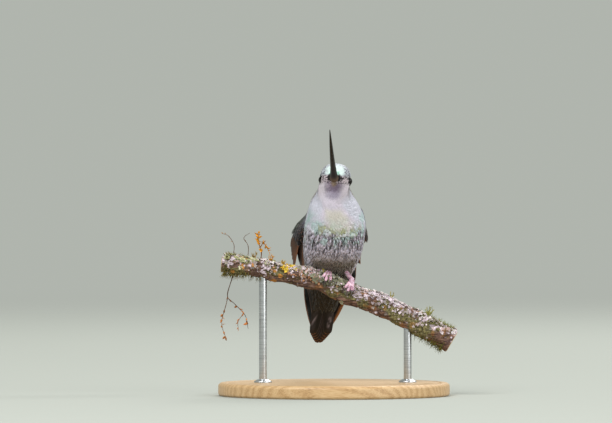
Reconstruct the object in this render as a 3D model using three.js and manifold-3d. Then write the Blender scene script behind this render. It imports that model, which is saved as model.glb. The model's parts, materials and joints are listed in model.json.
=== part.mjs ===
// A hummingbird, the Green-fronted Lancebill, as a life-size still model of a perched bird.
// It grips a cut length of branch, which two short rods carry over a round display base.
// Millimetres, +Z up. The bird looks towards -Y and its left side is +X.
// The origin is the middle of the base's underside.
import * as THREE from "three";
import { LoftGeometry } from "three/addons/geometries/LoftGeometry.js";
import { mergeVertices } from "three/addons/utils/BufferGeometryUtils.js";
import Module from "manifold-3d";

const wasm = await Module();
wasm.setup();

const degrees = THREE.MathUtils.degToRad;
const { lerp, smoothstep } = THREE.MathUtils;
const vector = (x, y, z) => new THREE.Vector3(x, y, z);

// ---- Driving sizes -------------------------------------------------------------------------

const gap = 0.3; // clearance between neighbouring pieces
const bodyTurn = degrees(10.4); // the whole bird, about the vertical: its tail goes towards -X
const headTurn = degrees(-15.4); // the head, back towards the viewer and a little past
const headRoll = degrees(3); // the head tips towards the bird's left
const headCentre = vector(0, -9, 82);
const neckPivot = vector(0, -5, 78);
const neckLean = 0.7; // how far the neck stands over to the bird's right

const bill = { root: vector(0, -15.7, 82.95), length: 36.3, pitch: degrees(27), upturn: 2.2, sunk: 2 };
const eye = { radius: 1.9, side: 4.5, at: [-9.6, 81.8] };
const wing = { wrist: [8.8, -4, 70.8], length: 57, spread: 2.3, tuck: 6.9, slope: [0.547, -0.829] };
const tail = { root: vector(0, 12, 50), length: 36.3, slope: Math.atan2(29.7, 19.5), rounding: 2.8 };
const featherThickness = 0.54;

const perch = { from: -43, to: 45, radius: 3.75, thickening: 0.013, height: 41, fall: 0.335, sag: 0.0028 };
const leftFoot = { x: 4.8, knee: vector(2.3, 3.4, 50) };
const rightFoot = { x: -3.7, knee: vector(-3.2, 3.6, 52.5) };
const toeGap = { root: 0.25, tip: 1.4 }; // from one front toe's middle to the next

const base = { radius: 44, thickness: 5, chamfer: 0.8 };
const rod = { radius: 1.5, sunk: 2.5, at: [-27, 28] };

// The trunk in the bird's middle plane: y runs backwards and z up, half is the half width.
// One section after another, from the face round the bill to the ends of the tail coverts.
const sections = [
  { name: "face", back: [-15.9, 84.3], belly: [-15.9, 81.7], half: 1.4 },
  { name: "lores", back: [-14.7, 86.0], belly: [-15.8, 80.2], half: 3.0 },
  { name: "brow", back: [-12.7, 87.5], belly: [-15.6, 78.6], half: 4.2 },
  { name: "eye", back: [-10.0, 88.2], belly: [-15.2, 76.8], half: 4.9 },
  { name: "crown", back: [-6.6, 87.8], belly: [-14.8, 74.8], half: 5.5 },
  { name: "nape", back: [-3.2, 85.3], belly: [-14.5, 72.6], half: 5.6 },
  { name: "hindneck", back: [-0.6, 81.6], belly: [-14.2, 70.0], half: 6.7 },
  { name: "shoulder", back: [2.4, 76.8], belly: [-13.9, 66.8], half: 9.4 },
  { name: "mantle", back: [6.2, 70.8], belly: [-13.0, 62.4], half: 11.2 },
  { name: "back", back: [10.4, 63.6], belly: [-10.8, 57.4], half: 11.5 },
  { name: "loin", back: [14.2, 56.2], belly: [-7.0, 52.2], half: 10.9 },
  { name: "rump", back: [17.3, 49.4], belly: [-1.6, 47.8], half: 9.4 },
  { name: "vent", back: [19.9, 43.6], belly: [5.6, 42.8], half: 7.2 },
  { name: "coverts", back: [22.6, 37.6], belly: [12.8, 36.0], half: 5.6 },
  { name: "covertEnds", back: [26.0, 30.6], belly: [21.2, 28.6], half: 3.9 },
];
const station = (name) => sections.findIndex((section) => section.name === name);

// ---- Making solids -------------------------------------------------------------------------

// A closed loft through rings of points, as a solid. A loft faces outwards when its rings turn
// anticlockwise as seen from its end, so rings that turn the other way are reversed.
function loft(rings) {
  const middleOf = (ring) => ring.reduce((sum, point) => sum.add(point), vector(0, 0, 0))
    .divideScalar(ring.length);
  const start = middleOf(rings[0]);
  const ahead = middleOf(rings[1]).sub(start);
  const turning = rings[0].reduce((sum, point, i) => {
    const next = rings[0][(i + 1) % rings[0].length].clone().sub(start);
    return sum.add(point.clone().sub(start).cross(next));
  }, vector(0, 0, 0));
  const facing = turning.dot(ahead) > 0 ? rings : rings.map((ring) => [...ring].reverse());
  return solidOf(new LoftGeometry(facing, { capStart: true, capEnd: true }));
}

function solidOf(geometry, matrix = new THREE.Matrix4()) {
  const bare = new THREE.BufferGeometry().copy(geometry).applyMatrix4(matrix);
  bare.deleteAttribute("normal");
  bare.deleteAttribute("uv");
  const merged = mergeVertices(bare, 1e-4);
  return new wasm.Manifold(new wasm.Mesh({
    numProp: 3,
    vertProperties: merged.attributes.position.array,
    triVerts: new Uint32Array(merged.index.array),
  }));
}

function geometryOf(solid) {
  const mesh = solid.getMesh();
  const points = new Float32Array(mesh.numVert * 3);
  for (let i = 0; i < mesh.numVert; i++) {
    points.set(mesh.vertProperties.subarray(i * mesh.numProp, i * mesh.numProp + 3), i * 3);
  }
  const geometry = new THREE.BufferGeometry();
  geometry.setAttribute("position", new THREE.BufferAttribute(points, 3));
  geometry.setIndex(new THREE.BufferAttribute(new Uint32Array(mesh.triVerts), 1));
  geometry.computeVertexNormals();
  return geometry;
}

const join = (solids) => solids.reduce((whole, next) => whole.add(next));
const cutBy = (solid, cutters) => cutters.reduce((left, cutter) => left.subtract(cutter), solid);

function finish(color, roughness, metalness = 0) {
  return new THREE.MeshStandardMaterial({ color, roughness, metalness, flatShading: true });
}

function pieceOf(name, shape, material) {
  const mesh = new THREE.Mesh(shape.isBufferGeometry ? shape : geometryOf(shape), material);
  mesh.name = name;
  return mesh;
}

// ---- Trunk, neck and head ------------------------------------------------------------------

const smoothLine = (points) => new THREE.CatmullRomCurve3(points, false, "catmullrom", 0.5);
const backLine = smoothLine(sections.map(({ back }) => vector(0, ...back)));
const bellyLine = smoothLine(sections.map(({ belly }) => vector(0, ...belly)));
const halfLine = smoothLine(sections.map(({ half }) => vector(half, 0, 0)));

// How the head's turn and roll move a point that shares in them by the given part.
function headPose(share) {
  const about = (pivot, turn) => new THREE.Matrix4().makeTranslation(pivot)
    .multiply(turn).multiply(new THREE.Matrix4().makeTranslation(pivot.clone().negate()));
  const turn = about(neckPivot, new THREE.Matrix4().makeRotationZ(headTurn * share));
  return turn.multiply(about(headCentre, new THREE.Matrix4().makeRotationY(headRoll * share)));
}

const headShare = (at) => 1 - smoothstep(at, station("crown") + 0.8, station("mantle"));

// The closed outline of the trunk at a place along the sections: an ellipse between back and
// belly, fuller towards the back, where the shoulder feathers lie.
function trunkRing(at, sides = 20) {
  const along = at / (sections.length - 1);
  const top = backLine.getPoint(along);
  const bottom = bellyLine.getPoint(along);
  const half = halfLine.getPoint(along).x;
  const middle = top.clone().add(bottom).divideScalar(2);
  const arm = top.clone().sub(bottom).divideScalar(2);
  const pose = headPose(headShare(at));
  const lean = neckLean * smoothstep(at, station("crown") - 0.2, station("nape"))
    * (1 - smoothstep(at, station("shoulder") - 0.4, station("mantle") + 0.2));
  return Array.from({ length: sides }, (_, k) => {
    const angle = (k / sides) * 2 * Math.PI;
    const fullness = Math.cos(angle) > 0 ? lerp(1, 0.75, Math.cos(angle)) : 1;
    const across = half * Math.sign(Math.sin(angle)) * Math.abs(Math.sin(angle)) ** fullness;
    return middle.clone().addScaledVector(arm, Math.cos(angle)).add(vector(across - lean, 0, 0))
      .applyMatrix4(pose);
  });
}

function flesh(from, to, step = 0.5) {
  const count = Math.ceil((to - from) / step);
  return loft(Array.from({ length: count + 1 }, (_, k) => trunkRing(lerp(from, to, k / count))));
}

// ---- Bill and eyes, in the head's own frame before it turns ---------------------------------

// A point of the bill: s along it from the feathers, across, and over its middle line.
function billPoint(s, across, over) {
  const lift = bill.upturn * (Math.max(s, 0) / bill.length) ** 2;
  const ahead = vector(0, -Math.cos(bill.pitch), Math.sin(bill.pitch));
  const up = vector(0, Math.sin(bill.pitch), Math.cos(bill.pitch));
  return bill.root.clone().addScaledVector(ahead, s).addScaledVector(up, lift + over)
    .add(vector(across, 0, 0));
}

// Half the bill's width: a flare at the root, a long even stretch and a fine point.
function billHalf(s) {
  const q = Math.max(s, 0) / bill.length;
  return 0.12 + 0.78 * (1 - q ** 2.6) + 0.45 * Math.exp(-12 * q);
}

// One mandible as a half ellipse carried along the bill. side is 1 over the gape and -1 under it.
function mandible(side, length) {
  const gape = 0.08;
  const stretch = [-bill.sunk, ...[0, 0.04, 0.1, 0.2, 0.35, 0.5, 0.65, 0.8, 0.92, 1]
    .map((q) => q * length)];
  const around = 8;
  return loft(stretch.map((s) => Array.from({ length: around + 1 }, (_, k) => {
    const angle = (k / around) * Math.PI;
    return billPoint(s, billHalf(s) * Math.cos(angle),
      side * (gape + 0.95 * billHalf(s) * Math.sin(angle)));
  })));
}

// The room of the bill's root in the face, which has the same flare.
function billRoom() {
  const sides = 12;
  return loft([-bill.sunk - gap, 0, 1.5, 3, 5].map((s) => Array.from({ length: sides }, (_, k) => {
    const angle = (k / sides) * 2 * Math.PI;
    const half = billHalf(s) + 1.2 * gap;
    return billPoint(s, half * Math.cos(angle), half * Math.sin(angle));
  })));
}

const eyeGeometry = (radius, around = 14) => new THREE.SphereGeometry(radius, around, around / 2 + 1);
const eyePlace = (side) => vector(side * eye.side, ...eye.at);

// ---- Wings ---------------------------------------------------------------------------------

// A point of a folded wing: l from the wrist to the tip, c back from the leading edge, n outwards.
// It stands off the body down to the ends of the short inner feathers and then draws in to the
// tail. Near the wrist it wraps round the back, and towards the tip its rear edge turns in.
// side is 1 for the bird's left wing and -1 for its right one.
const outWay = vector(0.97, -0.16, -0.12).normalize();
function wingPoint(side, l, c, n) {
  const [wristX, wristY, wristZ] = wing.wrist;
  const edgeX = wristX + wing.spread * smoothstep(l, 0, 18)
    - wing.tuck * (Math.max(l, 0) / wing.length) ** 2.2;
  const splay = 0.28 * smoothstep(l, 0, 14) - 0.5 * smoothstep(l, 15, 52);
  const wrap = lerp(0.05, 0.008, smoothstep(l, 6, 22)) * c * c;
  const point = vector(edgeX, wristY + wing.slope[0] * l, wristZ + wing.slope[1] * l)
    .addScaledVector(vector(splay, 0.81, 0.565), c).addScaledVector(outWay, n - wrap);
  point.x *= side;
  return point;
}

// One stiff feather as a thin closed plate over a surface(l, c, n).
// It runs from root to tip, both [l, c], is 2 * half wide and lies at the height lift.
function plate(surface, { root, tip, half, lift, bow = 0, blunt = 0.3 }) {
  const long = tip[0] - root[0] > 33;
  const stretch = long ? [0, 0.15, 0.5, 0.85, 1] : [0, 0.3, 0.8, 1];
  const thick = featherThickness / 2;
  return loft(stretch.map((q) => {
    const l = lerp(root[0], tip[0], q);
    const c = lerp(root[1], tip[1], q) + bow * Math.sin(Math.PI * q);
    const rise = Math.min(1, 0.45 + 3.5 * q);
    const taper = q < 0.5 ? 1 : lerp(1, blunt, ((q - 0.5) / 0.5) ** 3);
    const wide = half * rise * taper;
    return [surface(l, c - wide, lift - thick), surface(l, c + wide, lift - thick),
      surface(l, c + wide, lift + thick), surface(l, c - wide, lift + thick)];
  }));
}

const stack = (surface, feathers) => join(feathers.map((feather) => plate(surface, feather)));

// Ten primaries, the outermost first. It is the longest, the lowest in the stack and the narrowest.
const primaries = Array.from({ length: 10 }, (_, i) => {
  const f = i / 9;
  return {
    root: [11, 1.5 + 2.4 * f],
    tip: [wing.length - 29 * f ** 1.15, 1.7 + 3.6 * f],
    half: i ? 2.1 : 1.6,
    lift: 0.09 * i,
    bow: -0.9 * (1 - f),
  };
});

// Six secondaries over them, about half as long. The outermost is the longest and the lowest.
const secondaries = Array.from({ length: 6 }, (_, i) => {
  const f = i / 5;
  return {
    root: [11.5, 4.4 + 2.4 * f],
    tip: [28 - 5.5 * f, 5.2 + 3.2 * f],
    half: 2.1,
    lift: 1.62 + 0.06 * i,
  };
});

// The coverts and shoulder feathers, as one pad that holds the roots of the flight feathers.
// Its section is a flat oval, narrow at the wrist and broad where it ends over the feathers.
// Towards the rear it deepens inwards, down to the back.
function covertPad(side, grow = 0) {
  const [from, to] = [2 - grow, 17 + grow];
  const [low, high] = [-0.25 - grow, 3.0 + grow];
  const shares = [0, 0.08, 0.25, 0.5, 0.8, 1];
  const sides = 12;
  const squared = (value) => Math.sign(value) * Math.abs(value) ** 0.7;
  return loft(shares.map((q) => Array.from({ length: sides }, (_, k) => {
    const angle = (k / sides) * 2 * Math.PI;
    const fullness = Math.min(1, 0.15 + 1.5 * Math.sqrt(q));
    const share = squared(Math.cos(angle));
    const depth = 2 * Math.max(0, share + 0.3) ** 2 * Math.max(0, -Math.sin(angle)) * fullness;
    const across = lerp(3.2, 5, q) + (lerp(5, 4.2, q) * fullness + grow) * share;
    const height = lerp(low, high, 0.5 + 0.5 * fullness * squared(Math.sin(angle))) - depth;
    return wingPoint(side, lerp(from, to, q), across, height);
  })));
}

// The room round a stack of feathers, for cutting its neighbours clear. At a share q of its
// length, edges(q) gives its front and rear as [l, c], and the heights between which it lies.
function room(surface, edges, steps = 6, strips = 3) {
  const across = Array.from({ length: strips + 1 }, (_, k) => k / strips);
  return loft(Array.from({ length: steps + 1 }, (_, i) => {
    const { front, rear, low, high } = edges(i / steps);
    const at = (share, n) => surface(lerp(front[0], rear[0], share),
      lerp(front[1], rear[1], share), n);
    return [...across.map((share) => at(share, low - gap)),
      ...across.map((share) => at(1 - share, high + gap))];
  }));
}

function stackRoom(surface, feathers, under = 0) {
  const [first, last] = [feathers[0], feathers.at(-1)];
  const half = last.half + gap;
  const place = ({ root, tip, bow = 0 }, q, beyond) => [lerp(root[0] - gap, tip[0] + gap, q),
    lerp(root[1], tip[1], q) + bow * Math.sin(Math.PI * q) + beyond];
  return room(surface, (q) => ({
    front: place(first, q, -half),
    rear: place(last, q, half),
    low: first.lift - featherThickness / 2 - under,
    high: last.lift + featherThickness / 2,
  }));
}

// ---- Tail ----------------------------------------------------------------------------------

// A point of the tail: l from its root, c across, n up from it. Its fan hollows a little below.
function tailPoint(l, c, n) {
  const ahead = vector(0, Math.cos(tail.slope), -Math.sin(tail.slope));
  const up = vector(0, Math.sin(tail.slope), Math.cos(tail.slope));
  return tail.root.clone().addScaledVector(ahead, l)
    .addScaledVector(up, n - 0.03 * c * c).add(vector(c, 0, 0));
}

// Ten tail feathers, five a side. The middle pair is the longest and lies on top.
const tailFeathers = [0, 1, 2, 3, 4].flatMap((k) => [-1, 1].map((side) => ({
  root: [5, side * (0.4 + 0.15 * k)],
  tip: [tail.length - tail.rounding * (k / 4) ** 1.5, side * (0.7 + 0.42 * k)],
  half: 2.45,
  lift: -0.16 * k + 0.05 * side,
  blunt: 0.45,
})));

// ---- Perch ---------------------------------------------------------------------------------

// The branch's middle line falls towards +X and sags, with one gentle kink under the bird.
function perchMiddle(x) {
  const kink = 0.75 * Math.sin(x / 5) * Math.exp(-((x / 18) ** 2));
  const height = perch.height - perch.fall * x - perch.sag * x * x - kink;
  return vector(x, 1.2 * Math.sin(x / 26), height);
}

// A point on the bark or over it. angle is 0 on top and grows towards the front.
function perchPoint(x, angle, over = 0) {
  const ahead = perchMiddle(x + 0.5).sub(perchMiddle(x - 0.5)).normalize();
  const front = vector(0, -1, 0);
  const up = ahead.clone().cross(front).negate().normalize();
  const knots = 0.22 * Math.sin(0.45 * x + 2 * angle) + 0.12 * Math.sin(0.9 * x - 3 * angle);
  const away = perch.radius + perch.thickening * x + knots + over;
  return perchMiddle(x).addScaledVector(up, away * Math.cos(angle))
    .addScaledVector(front, away * Math.sin(angle));
}

function perchSolid(grow = 0) {
  const count = 18;
  const sides = 11;
  return loft(Array.from({ length: count + 1 }, (_, i) => {
    const x = lerp(perch.from, perch.to, i / count);
    return Array.from({ length: sides }, (_, k) => perchPoint(x, (k / sides) * 2 * Math.PI, grow));
  }));
}

// ---- Legs and claws ------------------------------------------------------------------------

// A round bar through points, with a radius at each. It never runs along the perch, so the
// perch's run is what each ring is turned by.
function bar(points, radii, sides = 8) {
  const run = vector(1, 0, -perch.fall);
  return loft(points.map((point, i) => {
    const before = points[Math.max(i - 1, 0)];
    const after = points[Math.min(i + 1, points.length - 1)];
    const ahead = after.clone().sub(before).normalize();
    const across = ahead.clone().cross(run).normalize();
    const over = ahead.clone().cross(across);
    return Array.from({ length: sides }, (_, k) => {
      const angle = (k / sides) * 2 * Math.PI;
      return point.clone().addScaledVector(across, radii[i] * Math.cos(angle))
        .addScaledVector(over, radii[i] * Math.sin(angle));
    });
  }));
}

// Three toes reach over the front of the perch and one goes back. spread is along the perch.
const toes = [
  { name: "inner", spread: -1, from: 4, to: 66 },
  { name: "middle", spread: 0, from: 4, to: 76 },
  { name: "outer", spread: 1, from: 4, to: 66 },
  { name: "hind", spread: 0, from: -4, to: -66 },
];
const toeRadius = (q) => lerp(0.66, 0.5, q);

// A place on a toe's middle line: q is 0 at the foot's middle, 1 where the claw starts.
function toePlace(foot, toe, q, radius) {
  const x = foot.x + toe.spread * lerp(toeGap.root, toeGap.tip, q);
  return perchPoint(x, degrees(lerp(toe.from, toe.to, q)), 0.5 + radius);
}

const ankleOf = (foot) => perchPoint(foot.x, 0, 1.6);

function tarsusSolid(foot, grow = 0) {
  const shank = [0, 0.12, 0.5, 0.85, 1];
  return bar(shank.map((q) => ankleOf(foot).lerp(foot.knee, q)),
    [1.0, 0.82, 0.78, 0.95, 1.1].map((radius) => radius + grow));
}

function legSolid(foot) {
  const ball = new THREE.Matrix4().makeTranslation(perchPoint(foot.x, 0, 1.35));
  const fingers = toes.map((toe) => {
    const shares = [0, 0.3, 0.65, 1];
    return bar(shares.map((q) => toePlace(foot, toe, q, toeRadius(q))),
      shares.map((q) => toeRadius(q)), 6);
  });
  return join([tarsusSolid(foot), solidOf(new THREE.SphereGeometry(1, 8, 6), ball), ...fingers]);
}

// The hollow that a gripping foot leaves in the belly feathers, with the shank's room over it.
function footRoom(foot) {
  const reach = [-100, -60, -20, 20, 60, 100].map((angle) => perchPoint(foot.x, degrees(angle), 1));
  return tarsusSolid(foot, gap).add(bar(reach, [1.6, 3, 3.2, 3.2, 3, 1.6], 10));
}

function clawSolid(foot, toe) {
  const shares = [0, 0.35, 0.7, 1];
  const way = Math.sign(toe.to);
  const points = shares.map((q) => perchPoint(foot.x + toe.spread * (toeGap.tip + 0.25 * q),
    degrees(toe.to + way * (4.5 + 25 * q)), lerp(1.1, 0.62, q * q)));
  return bar(points, [0.4, 0.36, 0.28, 0.12], 6);
}

// ---- Display stand -------------------------------------------------------------------------

function baseGeometry() {
  const outline = new THREE.Shape();
  outline.absarc(0, 0, base.radius - base.chamfer, 0, 2 * Math.PI);
  const disc = new THREE.ExtrudeGeometry(outline, {
    depth: base.thickness - 2 * base.chamfer,
    bevelSize: base.chamfer,
    bevelThickness: base.chamfer,
    bevelSegments: 1,
    curveSegments: 20,
  });
  return disc.translate(0, 0, base.chamfer);
}

function rodSolid(x, grow = 0) {
  const middle = perchMiddle(x);
  const foot = base.thickness - rod.sunk - grow;
  const top = middle.z - 1 + grow;
  const bar = new THREE.CylinderGeometry(rod.radius + grow, rod.radius + grow, top - foot, 16);
  bar.rotateX(Math.PI / 2);
  return solidOf(bar, new THREE.Matrix4().makeTranslation(x, middle.y, (foot + top) / 2));
}

// ---- Colours and finishes ------------------------------------------------------------------

const materials = {
  crown: finish("#5f8f78", 0.45, 0.3),
  throat: finish("#cfcdd6", 0.8),
  body: finish("#8f9490", 0.8),
  coverts: finish("#3a352b", 0.8),
  wing: finish("#2a241d", 0.55),
  wingCoverts: finish("#37504a", 0.5, 0.2),
  tail: finish("#24242b", 0.5),
  bill: finish("#2b2620", 0.4),
  eye: finish("#0c0b0d", 0.08),
  leg: finish("#d9b8bd", 0.6),
  claw: finish("#3b3331", 0.4),
  bark: finish("#6d6355", 0.9),
  wood: finish("#b58f62", 0.5),
  steel: finish("#b9bcc0", 0.3, 1),
};

// ---- The model -----------------------------------------------------------------------------

const bird = new THREE.Group();
bird.rotation.z = bodyTurn;
const head = new THREE.Group();
headPose(1).decompose(head.position, head.quaternion, head.scale);
bird.add(head);

for (const [side, sideName] of [[1, "left"], [-1, "right"]]) {
  const eyeball = pieceOf(`eye_${sideName}`, eyeGeometry(eye.radius), materials.eye);
  eyeball.position.copy(eyePlace(side));
  eyeball.rotation.z = Math.PI / 2 - side * Math.PI / 2;
  head.add(eyeball);
}
head.add(pieceOf("bill_upper", mandible(1, bill.length), materials.bill));
head.add(pieceOf("bill_lower", mandible(-1, bill.length - 0.7), materials.bill));

const headCutters = [
  ...[1, -1].map((side) => solidOf(eyeGeometry(eye.radius + gap, 12),
    headPose(1).multiply(new THREE.Matrix4().makeTranslation(eyePlace(side))))),
  solidOf(geometryOf(billRoom()), headPose(1)),
];

const legs = [[leftFoot, "left"], [rightFoot, "right"]];
const intoBird = new THREE.Matrix4().makeRotationZ(-bodyTurn);
const trunkCutters = [perchSolid(gap), ...legs.map(([foot]) => footRoom(foot))]
  .map((room) => solidOf(geometryOf(room), intoBird));
const tailRoom = room(tailPoint, (q) => {
  const l = lerp(4.5, tail.length + gap, q);
  const edge = lerp(3.5, 4.7, q) + gap;
  return { front: [l, -edge], rear: [l, edge], low: -0.95, high: 0.3 };
});

for (const [side, sideName] of [[1, "left"], [-1, "right"]]) {
  const surface = (l, c, n) => wingPoint(side, l, c, n);
  const primaryRoom = stackRoom(surface, primaries);
  const secondaryRoom = stackRoom(surface, secondaries, 0.6);
  const cutCoverts = cutBy(covertPad(side), [primaryRoom, secondaryRoom]);
  trunkCutters.push(primaryRoom, secondaryRoom, covertPad(side, 1.5 * gap));
  bird.add(
    pieceOf(`wing_${sideName}_primaries`, stack(surface, primaries), materials.wing),
    pieceOf(`wing_${sideName}_secondaries`, stack(surface, secondaries), materials.wing),
    pieceOf(`wing_${sideName}_coverts`, cutCoverts, materials.wingCoverts),
  );
}

const seam = 0.06; // half the cut between two lengths of the body, in section steps
const nape = station("nape");
const shoulder = station("shoulder");
const vent = station("vent");
bird.add(
  pieceOf("head", cutBy(flesh(0, nape - seam), headCutters), materials.crown),
  pieceOf("neck", cutBy(flesh(nape + seam, shoulder - seam), trunkCutters), materials.throat),
  pieceOf("trunk", cutBy(flesh(shoulder + seam, vent - seam), [...trunkCutters, tailRoom]),
    materials.body),
  pieceOf("tail_coverts", cutBy(flesh(vent + seam, sections.length - 1),
    [...trunkCutters, tailRoom]), materials.coverts),
  pieceOf("tail", stack(tailPoint, tailFeathers), materials.tail),
);

const feet = new THREE.Group();
for (const [foot, sideName] of legs) {
  feet.add(pieceOf(`leg_${sideName}`, legSolid(foot), materials.leg));
  for (const toe of toes) {
    feet.add(pieceOf(`claw_${sideName}_${toe.name}`, clawSolid(foot, toe), materials.claw));
  }
}

const stand = new THREE.Group();
stand.add(
  pieceOf("perch_branch", cutBy(perchSolid(), rod.at.map((x) => rodSolid(x, gap))),
    materials.bark),
  pieceOf("stand_base", cutBy(solidOf(baseGeometry()), rod.at.map((x) => rodSolid(x, gap))),
    materials.wood),
  ...rod.at.map((x, i) => pieceOf(`stand_rod_${i ? "left" : "right"}`, rodSolid(x),
    materials.steel)),
);

const model = new THREE.Group();
model.add(bird, feet, stand);
export default model;
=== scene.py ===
import json
import math
import bpy
import numpy as np
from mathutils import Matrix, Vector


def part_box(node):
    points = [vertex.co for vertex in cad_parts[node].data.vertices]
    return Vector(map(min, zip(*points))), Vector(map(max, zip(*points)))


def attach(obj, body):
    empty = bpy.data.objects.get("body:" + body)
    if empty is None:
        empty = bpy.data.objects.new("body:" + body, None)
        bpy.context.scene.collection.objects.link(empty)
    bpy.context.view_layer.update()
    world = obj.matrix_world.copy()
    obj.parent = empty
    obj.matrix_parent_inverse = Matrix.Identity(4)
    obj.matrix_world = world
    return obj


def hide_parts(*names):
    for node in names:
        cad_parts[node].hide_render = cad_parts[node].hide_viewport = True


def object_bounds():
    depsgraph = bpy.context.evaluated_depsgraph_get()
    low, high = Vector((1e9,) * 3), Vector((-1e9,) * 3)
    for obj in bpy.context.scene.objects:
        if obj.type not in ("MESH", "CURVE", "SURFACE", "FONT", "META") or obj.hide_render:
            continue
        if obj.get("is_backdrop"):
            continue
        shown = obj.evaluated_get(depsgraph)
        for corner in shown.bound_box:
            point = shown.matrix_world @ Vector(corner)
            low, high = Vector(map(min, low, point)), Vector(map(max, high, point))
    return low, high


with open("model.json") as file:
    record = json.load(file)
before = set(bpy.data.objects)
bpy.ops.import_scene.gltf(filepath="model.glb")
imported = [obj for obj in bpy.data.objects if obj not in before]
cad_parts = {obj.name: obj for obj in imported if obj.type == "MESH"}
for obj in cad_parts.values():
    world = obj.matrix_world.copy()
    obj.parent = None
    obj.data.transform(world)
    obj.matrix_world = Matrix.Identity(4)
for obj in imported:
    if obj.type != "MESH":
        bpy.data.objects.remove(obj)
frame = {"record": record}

# A perched green-fronted lancebill, life size. Shapes are worked out in millimetres in the frame
# of the solids: the bird looks towards -Y, its left side is +X, and Z is up.
cadBox = [list(corner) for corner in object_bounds()]
slots = [row["slot"] for row in frame["record"]["materials"]]
mm = 0.001


def lerp(a, b, t):
    return a + (b - a) * t


def smoothStep(x, low, high):  # 0 below low, 1 above high, an S curve between
    q = np.clip((np.asarray(x, float) - low) / (high - low), 0, 1)
    return q * q * (3 - 2 * q)


def fadeOut(x, low, high):  # 1 below low, 0 above high
    return 1 - smoothStep(x, low, high)


def window(x, rise, full, fade, gone):  # up between rise and full, down between fade and gone
    return smoothStep(x, rise, full) * fadeOut(x, fade, gone)


def unit(v):
    return v / np.maximum(np.linalg.norm(v, axis=-1, keepdims=True), 1e-12)


def circle(count):  # angles evenly spaced round a circle
    return np.arange(count) / count * 2 * np.pi


def boxOf(node):  # the low and the high corner of a solid's box, in mm
    return [np.array(corner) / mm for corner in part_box(node)]


def splineAt(values, t):
    # Uniform Catmull-Rom through values at 0, 1, 2 ..., the ends carried on by reflection
    values = np.asarray(values, float)
    ends = np.concatenate([[2 * values[0] - values[1]], values, [2 * values[-1] - values[-2]]])
    i = np.clip(np.floor(t).astype(int), 0, len(values) - 2)
    u = (t - i)[..., None] if values.ndim > 1 else t - i
    p0, p1, p2, p3 = ends[i], ends[i + 1], ends[i + 2], ends[i + 3]
    m1, m2 = (p2 - p0) / 2, (p3 - p1) / 2
    return ((2 * u**3 - 3 * u**2 + 1) * p1 + (u**3 - 2 * u**2 + u) * m1
            + (3 * u**2 - 2 * u**3) * p2 + (u**3 - u**2) * m2)


aboutZ, aboutY = [0, 1], [2, 0]  # the axis that a turn starts from, and the one it goes towards


def turnPoints(p, angle, axes, pivot=(0, 0, 0)):
    # Turns points about pivot: a cos - b sin along the first axis and a sin + b cos on the second
    q = np.array(p, float) - pivot
    a, b = np.moveaxis(q[..., axes], -1, 0)
    q[..., axes] = np.stack([a * np.cos(angle) - b * np.sin(angle),
                             a * np.sin(angle) + b * np.cos(angle)], -1)
    return q + pivot


lattice = np.random.default_rng(11).random((32, 32, 32))


def noiseAt(p, size):
    # Value noise: a lattice of random numbers size mm apart, blended smoothly, from 0 to 1
    q = np.asarray(p, float) / size + 100.3
    i = np.floor(q).astype(int)
    f = q - i
    f = f * f * (3 - 2 * f)
    total = 0
    for corner in range(8):
        d = np.array([corner & 1, corner >> 1 & 1, corner >> 2])
        j = (i + d) % 32
        weight = np.prod(np.where(d, f, 1 - f), axis=-1)
        total = total + weight * lattice[j[..., 0], j[..., 1], j[..., 2]]
    return total


def linear(code):  # sRGB hex to linear red, green, blue and alpha
    channels = [int(code[i:i + 2], 16) / 255 for i in (1, 3, 5)]
    return [c / 12.92 if c <= 0.04045 else ((c + 0.055) / 1.055) ** 2.4 for c in channels] + [1.0]


def rgb(code):
    return np.array(linear(code)[:3])


def addNode(tree, kind, inputs=None, stops=(), **settings):
    # One node with its settings. An input is a value, or the node or socket that feeds it
    node = tree.nodes.new(kind)
    for key, value in settings.items():
        setattr(node, key, value)
    for i, (place, code) in enumerate(stops):
        ramp = node.color_ramp.elements
        stop = ramp[i] if i < 2 else ramp.new(place)
        stop.position = place
        stop.color = linear(code)
    for name, value in (inputs or {}).items():
        if isinstance(value, bpy.types.Node):
            value = value.outputs[0]
        if isinstance(value, bpy.types.NodeSocket):
            tree.links.new(value, node.inputs[name])
        else:
            node.inputs[name].default_value = value
    return node


def addMath(tree, operation, *values):
    return addNode(tree, "ShaderNodeMath", dict(enumerate(values)), operation=operation)


def readField(tree, name, output="Vector"):  # a value that the mesh carries at its points
    return addNode(tree, "ShaderNodeAttribute", attribute_name=name).outputs[output]


def partsOf(tree, vector):
    return addNode(tree, "ShaderNodeSeparateXYZ", {"Vector": vector}).outputs


def placeOn(tree, **mapping):  # Object coordinates, moved, turned or scaled where that is asked
    place = addNode(tree, "ShaderNodeTexCoord").outputs["Object"]
    return addNode(tree, "ShaderNodeMapping", {"Vector": place, **mapping}) if mapping else place


def addNoise(tree, vector, scale=1.0, detail=2.0, roughness=0.5):
    return addNode(tree, "ShaderNodeTexNoise", {"Vector": vector, "Scale": scale, "Detail": detail,
                                                "Roughness": roughness})


def spreadTo(tree, value, low, high):  # a share from 0 to 1 spread from low to high
    return addNode(tree, "ShaderNodeMapRange", {"Value": value, "To Min": low, "To Max": high})


def toneOf(tree, share, *stops):
    return addNode(tree, "ShaderNodeValToRGB", {"Fac": share}, stops)


def scaleBy(tree, vector, share):
    return addNode(tree, "ShaderNodeVectorMath", {0: vector, 1: share}, operation="MULTIPLY")


def blend(tree, share, under, over):
    return addNode(tree, "ShaderNodeMix", {0: share, 6: under, 7: over}, data_type="RGBA").outputs[2]


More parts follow.
